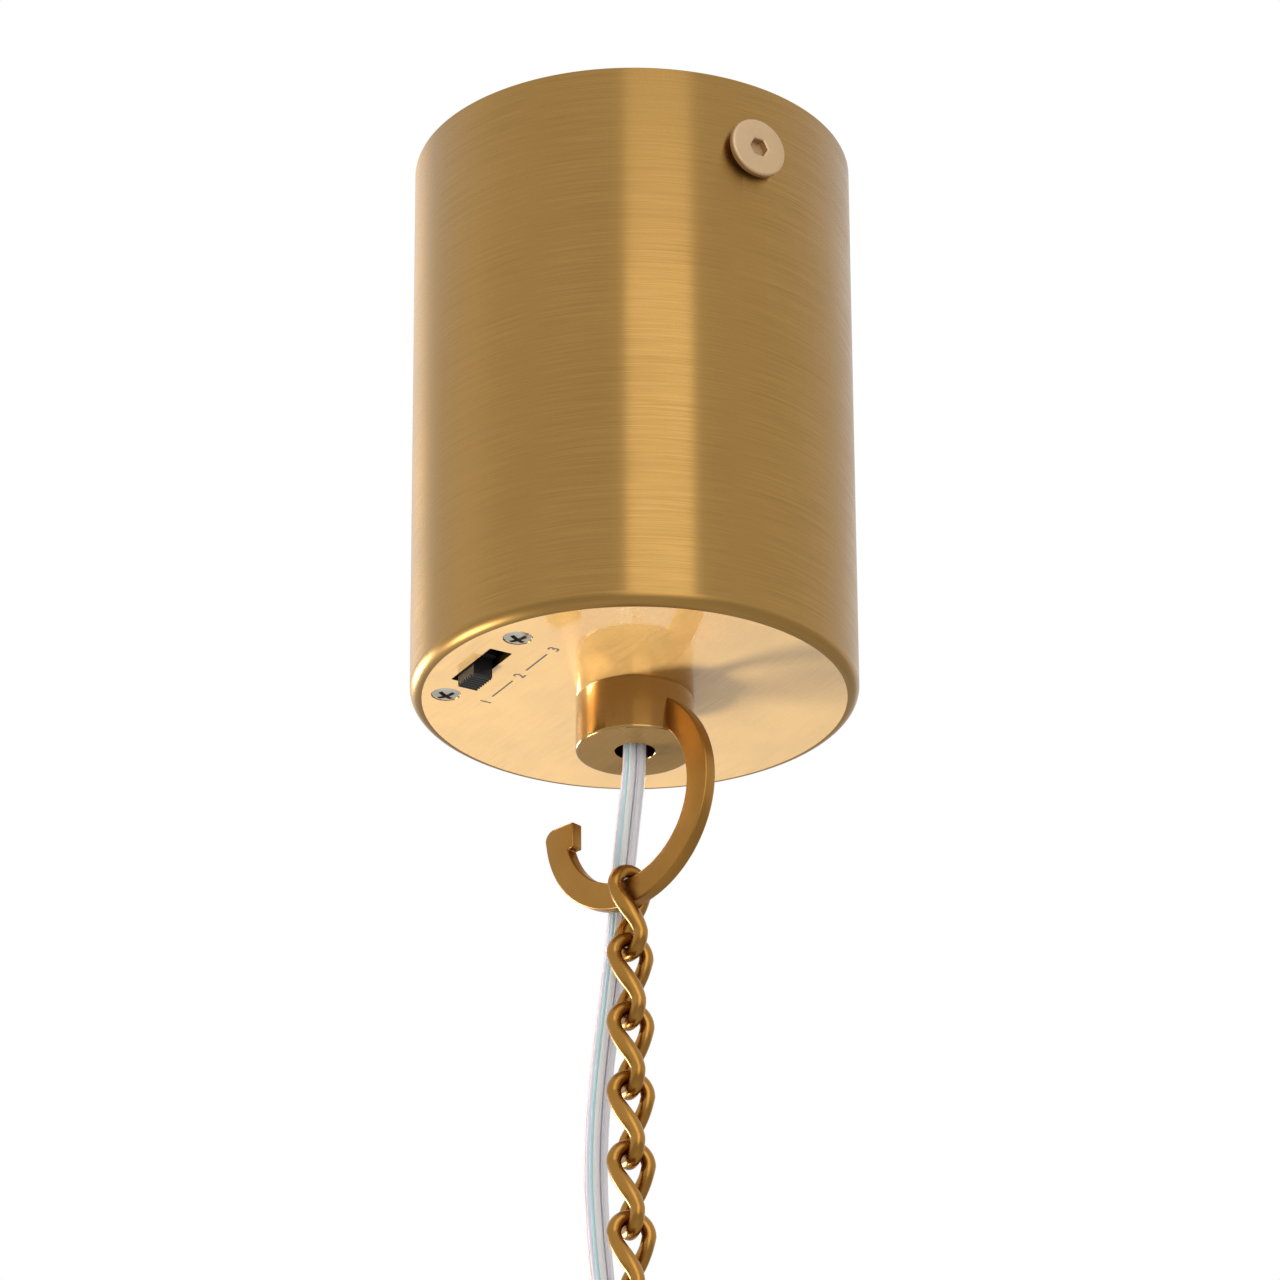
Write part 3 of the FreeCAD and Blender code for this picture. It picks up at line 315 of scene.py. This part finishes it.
BRUSH = math.radians(-43)
BLUR_UPWARDS = (0, 0, 1)
BLUR_ON_FLOOR = (-math.sin(BRUSH), math.cos(BRUSH), 0)
# Painted shade: the wall, bend and boss brass get dark base colours that stand in for the dark reflections
# on the brass. The floor plate is a much lighter copy of the same brass.
WALL_LIGHT, WALL_DARK = (0.38, 0.22, 0.066), (0.33, 0.185, 0.052)
WALL_GRAIN = (60, 60, 5200)
brass_wall = brushed("brass_wall", WALL_LIGHT, WALL_DARK, WALL_GRAIN, 0, BLUR_UPWARDS, 0.29, 0.95)
brass_bend = brushed("brass_bend", WALL_LIGHT, WALL_DARK, WALL_GRAIN, 0, BLUR_UPWARDS, 0.34, 0.6)
brass_floor = brushed("brass_floor", (0.86, 0.55, 0.2), (0.74, 0.46, 0.155), (100, 2600, 100), 57,
                      BLUR_ON_FLOOR, 0.4, 0.88, 0.25, Coat_Weight=1.0, Coat_Roughness=0.06, Coat_IOR=2.3)
brass_boss = brushed("brass_boss", (0.42, 0.24, 0.06), (0.35, 0.19, 0.045), (100, 100, 5200), 0,
                     BLUR_UPWARDS, 0.2, 0.7, Coat_Weight=1.0, Coat_Roughness=0.06, Coat_IOR=1.5)
brass_boss_end = brushed("brass_boss_end", (0.42, 0.25, 0.08), (0.34, 0.2, 0.06), (120, 3800, 120), 59,
                         BLUR_ON_FLOOR, 0.42, 0.6)
# The hook and chain brass are darkened the same way: painted shade in their base colours.
brass_hook = plain("brass_hook", (0.36, 0.18, 0.04), (0.31, 0.15, 0.032), 0.34, 1.0, 1400, 0.12)
brass_chain = plain("brass_chain", (0.36, 0.18, 0.04), (0.31, 0.15, 0.03), 0.26, 1.0, 1500, 0.04)
brass_screw = plain("brass_screw", (0.6, 0.43, 0.26), (0.53, 0.37, 0.21), 0.5, 1.0, 1600, 0.2)
nickel = plain("nickel", (0.74, 0.7, 0.61), (0.6, 0.56, 0.48), 0.16, 1.0, 1200, 0.06)
# Darker nickel for the cross recesses: painted shade in the hollows.
nickel_painted_shade = plain("nickel_recess_painted_shade", (0.28, 0.25, 0.21), (0.18, 0.16, 0.13), 0.4, 1.0, 1200, 0.1)
zinc = plain("zinc", (0.62, 0.63, 0.65), (0.5, 0.52, 0.55), 0.38, 1.0, 500, 0.1)
contact = plain("contact_brass", (0.82, 0.6, 0.26), (0.7, 0.48, 0.18), 0.28, 1.0, 900, 0.05)
white = plain("white_plastic", (0.8, 0.8, 0.78), (0.74, 0.74, 0.72), 0.5, scale=1400)
black = plain("black_plastic", (0.01, 0.01, 0.01), (0.016, 0.015, 0.015), 0.36, scale=1500)
# Matt black: the knob shoe's own colour, and painted shade where it darkens the switch base.
black_matt_and_painted_shade = plain("black_matt_and_painted_shade", (0.008, 0.008, 0.008), (0.013, 0.012, 0.012), 0.55, scale=1500,
                   Specular_IOR_Level=0.2)
green = plain("board_green", (0.02, 0.16, 0.05), (0.015, 0.11, 0.035), 0.3, scale=700)
yellow = plain("winding_tape", (0.66, 0.5, 0.05), (0.56, 0.41, 0.04), 0.36, scale=600)
navy = plain("capacitor_sleeve", (0.02, 0.03, 0.06), (0.015, 0.02, 0.04), 0.28, scale=600)
sleeve = plain("lead_sleeve", (0.6, 0.6, 0.57), (0.5, 0.5, 0.48), 0.35, scale=900)
mains = plain("mains_sleeve", (0.2, 0.09, 0.04), (0.15, 0.07, 0.03), 0.35, scale=900)
etched = plain("etched_mark", (0.2, 0.17, 0.14), (0.15, 0.13, 0.11), 0.6, 0.0, 2500)


def clear(name, tint, rough, transmission, **values):
    """Clear plastic with faint streaks in its tint and its gloss."""
    m = Nodes(name)
    m.set(Metallic=0.0, IOR=1.2, Transmission_Weight=transmission, **values)
    streak = m.noise(m.coords((700, 700, 60)), 1.0, 2.0, 0.5)
    m.link(m.blend(m.span(streak, 0.0, 1.0), tint, tuple(min(1.0, c * 1.05) for c in tint)),
           m.shader.inputs["Base Color"])
    m.link(m.span(streak, rough, rough + 0.06), m.shader.inputs["Roughness"])
    m.bump(streak, 0.06, 0.1)
    return m.material


sheath_clear = clear("sheath_clear", (0.95, 0.95, 0.96), 0.05, 1.0)
block_clear = clear("connector_clear", (0.9, 0.92, 0.94), 0.12, 0.8)
# The teal and rose strands are painted reflection: coloured lines that stand in for the clear sheath's
# iridescent tints.
STRANDS = {
    "strand_teal_painted_iridescence": (0.6, 0.87, 0.88),
    "strand_rose_painted_iridescence": (0.95, 0.66, 0.6),
    "strand_lilac": (0.86, 0.83, 0.92),
    "strand_white": (0.95, 0.95, 0.95),
}
strand_look = {name: plain(name, tone, tuple(c * 0.94 for c in tone), 0.35, 0.0, 500)
               for name, tone in STRANDS.items()}

LOOKS = {
    "ceiling_bracket": zinc, "driver_case": white, "driver_cover": white, "driver_board": green,
    "driver_transformer": yellow, "driver_capacitors": navy, "driver_screws": zinc,
    "terminal_block": white, "terminal_screws": zinc, "terminal_block_screw": zinc,
    # switch_base is drawn matt black: painted shade that keeps the switch slot dark.
    "earth_screw": zinc, "earth_tag": contact, "switch_frame": nickel, "switch_base": black_matt_and_painted_shade,
    "switch_terminals": contact, "switch_contact": contact, "nipple": zinc, "nipple_washer": zinc,
    "nipple_nut": zinc, "cord_grip": white, "cord_grip_screw": zinc, "connector_pins": contact,
    "output_leads": sleeve, "switch_leads": sleeve, "mains_leads": mains,
}
for node_name, look in LOOKS.items():
    solid = NODES[node_name].data
    solid.materials.clear()
    solid.materials.append(look)


# ---------------------------------------------------------------- the clear cable

CORD_RADIUS = 2.0
STRAND_PITCH = -1600.0
CORD_EXIT = (0.0, 0.0, -0.106)
CORD_ROUTE = [
    CORD_EXIT, (0.0, 0.0, -0.112), (-0.0012, 0.0032, -0.1215), (-0.0023, 0.0074, -0.1305),
    (-0.0031, 0.0099, -0.1405), (-0.0045, 0.011, -0.152), (-0.0061, 0.0118, -0.165),
    (-0.0069, 0.0121, -0.1785), (-0.0064, 0.0119, -0.1905), (-0.0054, 0.0114, -0.2015),
    (-0.0048, 0.011, -0.211), (-0.0048, 0.011, -0.22),
]


def route_curve(name, points, bevel):
    data = bpy.data.curves.new(name, "CURVE")
    data.dimensions = "3D"
    data.resolution_u = 24
    spline = data.splines.new("NURBS")
    spline.points.add(len(points) - 1)
    for spot, point in zip(spline.points, points):
        spot.co = (*point, 1)
    spline.order_u = 3
    spline.use_endpoint_u = True
    data.bevel_depth = bevel
    data.bevel_resolution = 10
    data.use_fill_caps = True
    piece = bpy.data.objects.new(name, data)
    scene.collection.objects.link(piece)
    return piece


guide = route_curve("cable_guide", CORD_ROUTE, 0.0)
graph = bpy.context.evaluated_depsgraph_get()
line = [v.co / MM for v in bpy.data.meshes.new_from_object(guide.evaluated_get(graph)).vertices]
bpy.data.objects.remove(guide)

cable = route_curve("cable_sheath", CORD_ROUTE, CORD_RADIUS * MM)
cable.data.materials.append(sheath_clear)
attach(cable, "canopy")
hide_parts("cable")


def strand(name, look, radius, out, start, pitch):
    """A strand inside the sheath, wound slowly about its middle line."""
    ways, sides = transported(line, False)
    points = []
    run = 0.0
    for i, (point, way, side) in enumerate(zip(line, ways, sides)):
        run += (point - line[i - 1]).length if i else 0.0
        turn = Matrix.Rotation(math.radians(start) + 2 * math.pi * run / pitch, 3, way)
        points.append(point + (turn @ side) * out)
    piece = obj_from(name, wire(name, points, radius, 10), "canopy", look)
    return piece


WINDING = (
    ("strand_teal_painted_iridescence", 0.34, 1.22, 4), ("strand_lilac", 0.2, 1.4, 289), ("strand_rose_painted_iridescence", 0.34, 1.22, 71),
    ("strand_white", 0.55, 1.1, 328), ("strand_lilac", 0.5, 1.12, 36), ("strand_white", 0.5, 1.15, 262),
    ("strand_lilac", 0.55, 1.1, 225), ("strand_white", 0.6, 1.1, 110), ("strand_lilac", 0.6, 1.1, 165),
    ("strand_white", 1.0, 0.0, 0),
)
strands = [strand(f"{kind}_{i}", strand_look[kind], radius, out, start, STRAND_PITCH)
           for i, (kind, radius, out, start) in enumerate(WINDING)]

root = [Vector((0, 0, z)) for z in (-76, -84, -92, -100, -106)]
cable_root = obj_from("cable_root", wire("cable_root", root, CORD_RADIUS, 32), "canopy", sheath_clear)

END = Vector(CORD_ROUTE[-1]) / MM


def at_end(point):
    return point + END


def soft_box(sx, sy, corner, steps=5):
    """A rectangle with round corners, as (x, y) points."""
    out = []
    for cx, cy, a in ((sx, sy, 0), (-sx, sy, 90), (-sx, -sy, 180), (sx, -sy, 270)):
        px = cx - math.copysign(corner, cx)
        py = cy - math.copysign(corner, cy)
        out += arc(px, py, corner, a, a + 90, steps)
    return out


neck = [(2.05, 0), (2.5, 0)]
for i in range(5):
    z = -0.8 * i
    neck += [(2.9, z - 0.1), (2.9, z - 0.45), (2.55, z - 0.5), (2.55, z - 0.8)]
neck += [(2.9, -4.2), (0.05, -4.2), (0.05, -0.2), (2.05, -0.2)]
neck_mesh = turned_mesh("connector_neck", neck, 48, place=at_end)
connector_neck = obj_from("connector_neck", neck_mesh, "canopy", block_clear)
shell = extruded("connector_block", soft_box(4.5, 3.0, 1.0), at_end, -18, -4)
connector = obj_from("connector_block", shell, "canopy", block_clear)
rounded(connector, 0.4)
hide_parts("cable_connector")


# ---------------------------------------------------------------- the canopy

RADIUS = 37.5
WALL = 1.2
HEIGHT = 100.0
CORNER = 2.0
NIPPLE_HOLE = 5.05
SWITCH_SCREW_X = 12.35
SIDE_SCREW_HEIGHT = -13
SWITCH = Vector((-25.2, -13.3, -HEIGHT))
SWITCH_TURN = Matrix.Rotation(math.radians(-60), 3, "Z")
SIDE_TURN = math.radians(33 - 90)
SIDE_OUT = Vector((math.cos(SIDE_TURN), math.sin(SIDE_TURN), 0))


def at_switch(point):
    """From the switch's own frame, with Z into the canopy."""
    return SWITCH + SWITCH_TURN @ point


INSIDE = RADIUS - WALL
cup = [(NIPPLE_HOLE, -HEIGHT), (20, -HEIGHT), (34.9, -HEIGHT), (35.4, -HEIGHT)]
cup += arc(RADIUS - CORNER, CORNER - HEIGHT, CORNER, -90, 0, 14)
cup += [(RADIUS, -97.9), (RADIUS, -97), (RADIUS, -50), (RADIUS, -0.3)]
cup += [(37.42, -0.08), (37.2, 0), (36.6, 0), (INSIDE, -0.2), (INSIDE, -50)]
cup += arc(RADIUS - CORNER, CORNER - HEIGHT, CORNER - WALL, 0, -90, 6)
cup += [(20, WALL - HEIGHT), (NIPPLE_HOLE, WALL - HEIGHT)]
canopy = obj_from("canopy", turned_mesh("canopy", cup, 256), "canopy", brass_wall, brass_floor, brass_bend)
for face in canopy.data.polygons:
    if face.normal.z < -0.999 and face.center.z < -0.0999:
        face.material_index = 1
    elif face.normal.z < -0.05 and face.center.z < -0.097:
        face.material_index = 2
slot_hole = extruded("slot_hole", soft_box(6.75, 2.05, 0.15, 2), at_switch, -1, 3)
sink = [(0.01, -0.3), (2.5, -0.3), (2.5, 0.05), (1.35, 1.15), (1.35, 3), (0.01, 3)]
screw_holes = [turned_mesh("screw_hole", sink, 48, place=lambda p, x=x: at_switch(p + Vector((x, 0, 0))))
               for x in (-SWITCH_SCREW_X, SWITCH_SCREW_X)]
SIDE_FRAME = Matrix.Rotation(SIDE_TURN, 3, "Z") @ Matrix.Rotation(math.radians(90), 3, "Y")


def at_side(point, side):
    """From a side screw's own frame, with Z outwards."""
    frame_turn = SIDE_FRAME if side > 0 else Matrix.Rotation(math.pi, 3, "Z") @ SIDE_FRAME
    return SIDE_OUT * side * RADIUS + Vector((0, 0, SIDE_SCREW_HEIGHT)) + frame_turn @ point


side_holes = [turned_mesh("side_hole", [(0.01, -3), (2.15, -3), (2.15, 2), (0.01, 2)], 32,
                          place=lambda p, s=s: at_side(p, s)) for s in (1, -1)]
cut_away(canopy, slot_hole, *screw_holes, *side_holes)
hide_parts("canopy_shell")


# ---------------------------------------------------------------- the side screws

def hex_radius(flats, a):
    """Distance from the middle to a hexagon's edge, at an angle."""
    a = (a + math.pi / 6) % (math.pi / 3) - math.pi / 6
    return flats / 2 / math.cos(a)


def socket_screw(name, side):
    steps = 72
    outer = [(1.95, -8), (1.95, 0), (3.8, 0), (3.8, 0.6), (4.95, 0.6)]
    outer += [(5.15, 0.68), (5.25, 0.85), (5.25, 1.5)]
    outer += [(5.25 - 0.4 * (1 - math.cos(a)), 1.5 + 0.38 * math.sin(a)) for a in (0.3, 0.6, 0.9, 1.2, 1.57)]
    outer += [(4.4, 1.9), (1.95, 1.9)]
    rings = []
    for k in range(steps):
        a = 2 * math.pi * k / steps
        ring = [Vector((0, 0, -8))]
        ring += [Vector((r * math.cos(a), r * math.sin(a), z)) for r, z in outer]
        r = hex_radius(3.0, a)
        for grow, z in ((0.12, 1.86), (0.0, 1.75), (0.0, 0.4)):
            ring.append(Vector(((r + grow) * math.cos(a), (r + grow) * math.sin(a), z)))
        ring.append(Vector((0, 0, 0.2)))
        rings.append([at_side(p, side) for p in ring])
    piece = obj_from(name, skin(name, rings, loop=True, angle=40), "canopy", brass_screw)
    return piece


front_screw = socket_screw("side_screw_front", 1)
socket_screw("side_screw_back", -1)
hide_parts("side_screws")


# ---------------------------------------------------------------- the switch

KNOB_REST = -2.2


def ridged_outline():
    """The knob seen from its side, as (x, z) with Z into the canopy."""
    low, high, ridges = -2.7, 2.7, 7
    pitch = (high - low) / ridges
    points = [(low, 1.4), (low, -1.9)]
    for i in range(ridges):
        x = low + i * pitch
        points += [(x + 0.16, -2.1), (x + 0.34, -2.1), (x + 0.64, -1.5), (x + 0.69, -1.5)]
    points[-2:] = [(high, -1.7), (high, 1.4)]
    return points


def on_knob(point):
    """From the outline's frame to the row frame, at the knob's rest place."""
    return at_switch(Vector((point.x + KNOB_REST, point.z, point.y)))


knob = obj_from("knob", extruded("knob", ridged_outline(), on_knob, -1.75, 1.75), "switch_knob", black)
rounded(knob, 0.04, 2, 30, angle=20)
shoe = extruded("knob_shoe", soft_box(4.1, 1.95, 0.4),
                lambda p: at_switch(p + Vector((KNOB_REST, 0, 0))), 1.5, 3.5)
knob_shoe = obj_from("knob_shoe", shoe, "switch_knob", black_matt_and_painted_shade)
rounded(knob_shoe, 0.1, 2)
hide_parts("switch_knob")


def cross_screw(name, x):
    def place(p):
        return at_switch(p + Vector((x, 0, 0)))

    profile = [(0.01, -0.34), (0.7, -0.32), (1.3, -0.24), (1.8, -0.12), (2.2, 0.0), (2.4, 0.1), (2.44, 0.2)]
    profile += [(1.2, 1.1), (1.2, 4.9), (0.01, 4.9)]
    piece = obj_from(name, turned_mesh(name, profile, 64, place=place), "canopy", nickel, nickel_painted_shade)
    turn = Matrix.Rotation(math.radians(25), 3, "Z")
    bars = []
    for sx, sy in ((1.6, 0.4), (0.4, 1.6)):
        rings = []
        for z, k in ((-0.5, 1.0), (0.1, 1.0), (0.95, 0.45)):
            rings.append([place(turn @ Vector((px * k, py * k, z))) for px, py in soft_box(sx, sy, 0.12, 2)])
        bars.append(skin("recess", rings, caps=True))
    cut_away(piece, *bars)
    # Faces inside the cross recess get the darker nickel: painted shade in the recess.
    for face in piece.data.polygons:
        spot = SWITCH_TURN.transposed() @ (face.center / MM - SWITCH)
        inside = abs(spot.x - x) < 1.62 and abs(spot.y) < 1.62 and spot.z < 1.2
        if inside and (face.normal.z > -0.93 or spot.z > 0.0):
            face.material_index = 1
    return piece


switch_screw_a = cross_screw("switch_screw_a", -SWITCH_SCREW_X)
cross_screw("switch_screw_b", SWITCH_SCREW_X)
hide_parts("switch_screws")


def mark(name, text, x, y, size):
    """An etched figure beside the switch, read from below."""
    data = bpy.data.curves.new(name, "FONT")
    data.body = text
    data.size = size
    data.align_x = "CENTER"
    data.resolution_u = 3
    data.offset = 0.05
    data.extrude = 0.01
    thing = bpy.data.objects.new(name, data)
    scene.collection.objects.link(thing)
    shapes = bpy.context.evaluated_depsgraph_get()
    figure = bpy.data.meshes.new_from_object(thing.evaluated_get(shapes))
    bpy.data.objects.remove(thing)
    for v in figure.vertices:
        v.co = at_switch(Vector((x + v.co.x, y - v.co.y, -0.005 - v.co.z))) * MM
    piece = obj_from(name, figure, "canopy", etched)


MARK_STEP = 11.6
BAR_HALF = 3.5
BAR_NEAR, BAR_FAR = 6.95, 7.3
for index, label in enumerate("123"):
    mark(f"mark_{label}", label, MARK_STEP * (index - 1), 8.1, 2.8)
for index, x in enumerate((-MARK_STEP / 2, MARK_STEP / 2)):
    ends = (x - BAR_HALF, x + BAR_HALF)
    bar_outline = [(ends[0], BAR_NEAR), (ends[1], BAR_NEAR), (ends[1], BAR_FAR), (ends[0], BAR_FAR)]
    bar = extruded(f"mark_bar_{index}", bar_outline, at_switch, -0.015, 0.005)
    obj_from(f"mark_bar_{index}", bar, "canopy", etched)


# ---------------------------------------------------------------- the boss and the hook

HOOK_TURN = math.radians(44)
HOOK_WAY = Vector((math.cos(HOOK_TURN), -math.sin(HOOK_TURN), 0))
HOOK_FRONT = Vector((HOOK_WAY.y, -HOOK_WAY.x, 0))
HOOK_THICKNESS = 2.3
BOSS_RADIUS = 9.9
BOSS_END = -109.5
BOSS_HOLE = 3.35


def at_hook(point):
    """X across the ring, Y up from the canopy's floor, Z to the hook's front."""
    return HOOK_WAY * point.x + UP * (point.y - HEIGHT) + HOOK_FRONT * point.z


boss_profile = [(BOSS_HOLE, -109.4), (3.45, BOSS_END), (6.5, BOSS_END), (9.5, BOSS_END)]
boss_profile += arc(9.55, -109.15, 0.35, -90, 0, 5)
boss_profile += [(BOSS_RADIUS, -109.0), (BOSS_RADIUS, -105), (BOSS_RADIUS, -100.3), (9.75, -HEIGHT)]
boss_profile += [(NIPPLE_HOLE, -HEIGHT), (NIPPLE_HOLE, -103.95), (BOSS_HOLE, -103.95)]
boss = obj_from("boss", turned_mesh("boss", boss_profile, 160), "canopy", brass_boss, brass_boss_end)
for face in boss.data.polygons:
    if face.normal.z < -0.99 and face.center.z < -0.1094:
        face.material_index = 1
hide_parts("hook_boss")

CENTRE = (-0.2, -19.2)
OUTER, INNER = 18.6, 14.0


def hook_outline():
    tip = -19.0
    points = [(CENTRE[0] - INNER + 1.9, tip)]
    corner_x = CENTRE[0] - OUTER + 2.0
    points += arc(corner_x, tip - 2.0, 2.0, 90, 175, 7)
    points += arc(*CENTRE, OUTER, 188, 422, 80)
    points += [(8.3, -2.7), (5.5, -2.7), (5.5, -9.4), (9.75, -9.4)]
    points += arc(*CENTRE, INNER, 44, -161.7, 74)
    points += [(CENTRE[0] - INNER + 1.9, tip - 4.6)]
    return points


hook = obj_from("hook", extruded("hook", hook_outline(), at_hook, 0.0, HOOK_THICKNESS), "canopy", brass_hook)
rounded(hook, 0.35, 4, 40)
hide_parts("hook")


# ---------------------------------------------------------------- the chain

TURNS = (36.0, 28.0, 24.0, 22.0, 20.0, 19.0, 18.0)
PITCH_MM = 12.1
HALF_LENGTH = 7.325
HALF_WIDTH = 3.0
WIRE_RADIUS = 1.2
LEG_IN, LEG_ASIDE = 0.08, 0.22
STRAIGHTENED = 0.45
# The chain's upright middle line, and the top of its first link.
CHAIN_X, CHAIN_Y, CHAIN_TOP = -0.9427, -0.6883, -131.6093


def twist(v, ease=0.3):
    """From 0 to 1 at an even rate, eased over the ends."""
    if v > 0.5:
        return 1 - twist(1 - v, ease)
    rate = 1 / (1 - ease)
    return rate * v * v / (2 * ease) if v < ease else rate * (v - ease / 2)


def link_rings():
    """Sections round a link's middle line: a half ring, two twisted legs and a half ring across.
    The legs are straightened and flattened a little, as in a pressed curb chain."""
    shoulder = HALF_LENGTH - HALF_WIDTH
    points = []

    def leg(sign, down):
        steps = 22
        for i in range(1, steps):
            v = i / steps if down else 1 - i / steps
            turn = 0.5 * math.pi * twist(v)
            wound = Vector((math.cos(turn), math.sin(turn), 0))
            straight = Vector((1 - v, v, 0))
            spot = (wound * (1 - STRAIGHTENED) + straight * STRAIGHTENED) * HALF_WIDTH * sign
            outwards = spot.normalized()
            spot.z = shoulder - 2 * shoulder * v
            points.append((spot, outwards, math.sin(math.pi * v)))

    for x, z in arc(0, 0, 1, 180, 0, 22):
        points.append((Vector((x * HALF_WIDTH, 0, shoulder + z * HALF_WIDTH)), Vector((x, 0, z)), 0.0))
    leg(1, True)
    for y, z in arc(0, 0, 1, 0, -180, 22):
        points.append((Vector((0, y * HALF_WIDTH, z * HALF_WIDTH - shoulder)), Vector((0, y, z)), 0.0))
    leg(-1, False)
    rings = []
    for i, (spot, outwards, press) in enumerate(points):
        way = (points[(i + 1) % len(points)][0] - points[i - 1][0]).normalized()
        outwards = (outwards - way * outwards.dot(way)).normalized()
        aside = way.cross(outwards)
        ring = []
        for k in range(28):
            a = 2 * math.pi * k / 28
            ring.append(spot + outwards * math.cos(a) * (WIRE_RADIUS - LEG_IN * press)
                        + aside * math.sin(a) * (WIRE_RADIUS + LEG_ASIDE * press))
        rings.append(ring)
    return rings


LINK_RINGS = link_rings()
for number, turn in enumerate(TURNS, start=1):
    spin = Matrix.Rotation(math.radians(turn), 3, "Z")
    middle = Vector((CHAIN_X, CHAIN_Y, CHAIN_TOP - HALF_LENGTH - (number - 1) * PITCH_MM))
    rings = [[middle + spin @ p for p in ring] for ring in LINK_RINGS]
    link_mesh = skin(f"link_{number}", rings, loop=True, angle=60)
    link = obj_from(f"link_{number}", link_mesh, f"link_{number}", brass_chain)
    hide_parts(f"chain_link_{number}")


# ---------------------------------------------------------------- floor, light and background

FLOOR_REACH = 60000
FLOOR_HEIGHT = -1300
floor_corners = [(x * FLOOR_REACH, y * FLOOR_REACH, FLOOR_HEIGHT)
                 for x, y in ((-1, -1), (1, -1), (1, 1), (-1, 1))]
floor_mesh = mesh_from("floor", floor_corners, [(0, 1, 2, 3)])
floor = bpy.data.objects.new("floor", floor_mesh)
scene.collection.objects.link(floor)
floor_look = plain("floor_pale", (0.8, 0.8, 0.8), (0.78, 0.78, 0.78), 0.9, scale=8, bump=0.0)
floor_mesh.materials.append(floor_look)


def lamp(name, place, target, size, power, tint=(1, 1, 1)):
    data = bpy.data.lights.new(name, "AREA")
    data.shape = "DISK"
    data.size = size
    data.energy = power
    data.color = tint
    light = bpy.data.objects.new(name, data)
    light.location = place
    light.rotation_mode = "QUATERNION"
    light.rotation_quaternion = (Vector(target) - Vector(place)).to_track_quat("-Z", "Y")
    scene.collection.objects.link(light)
    return light


lamp("side_light", (-0.69, 0.27, -0.81), (0, 0, -0.1), 0.3, 5.4, (1.0, 0.98, 0.95))
lamp("rim_light", (-0.85, 0.8, -0.25), (0, 0, -0.09), 0.5, 9.0)
panel = lamp("front_panel", (0.36, -1.5, 0.35), (0, 0, 0.35), 0.95, 7.5)
panel.data.shape = "RECTANGLE"
panel.data.size_y = 1.8
panel.visible_camera = False

world = bpy.data.worlds.new("studio")
scene.world = world
world.use_nodes = True
tree = world.node_tree
tree.nodes.clear()


def world_node(kind, **values):
    made = tree.nodes.new(kind)
    for key, value in values.items():
        setattr(made, key, value)
    return made


def larger(a, b):
    made = world_node("ShaderNodeMath", operation="MAXIMUM")
    for socket, value in zip(made.inputs, (a, b)):
        tree.links.new(value, socket)
    return made.outputs[0]


# Camera, glossy and transmission rays see one white; diffuse rays get the softer ambient light.
AMBIENT_LEVEL = 0.7
paths = world_node("ShaderNodeLightPath")
mirrored = larger(paths.outputs["Is Glossy Ray"], paths.outputs["Is Transmission Ray"])
seen = larger(paths.outputs["Is Camera Ray"], mirrored)
background = world_node("ShaderNodeBackground")
background.inputs["Color"].default_value = (1, 1, 1, 1)
ambient = world_node("ShaderNodeBackground")
ambient.inputs["Color"].default_value = (1.0, 0.99, 0.97, 1)
ambient.inputs["Strength"].default_value = AMBIENT_LEVEL
world_mix = world_node("ShaderNodeMixShader")
tree.links.new(seen, world_mix.inputs[0])
tree.links.new(ambient.outputs[0], world_mix.inputs[1])
tree.links.new(background.outputs[0], world_mix.inputs[2])
result = world_node("ShaderNodeOutputWorld")
tree.links.new(world_mix.outputs[0], result.inputs["Surface"])

scene.view_settings.view_transform = "Standard"
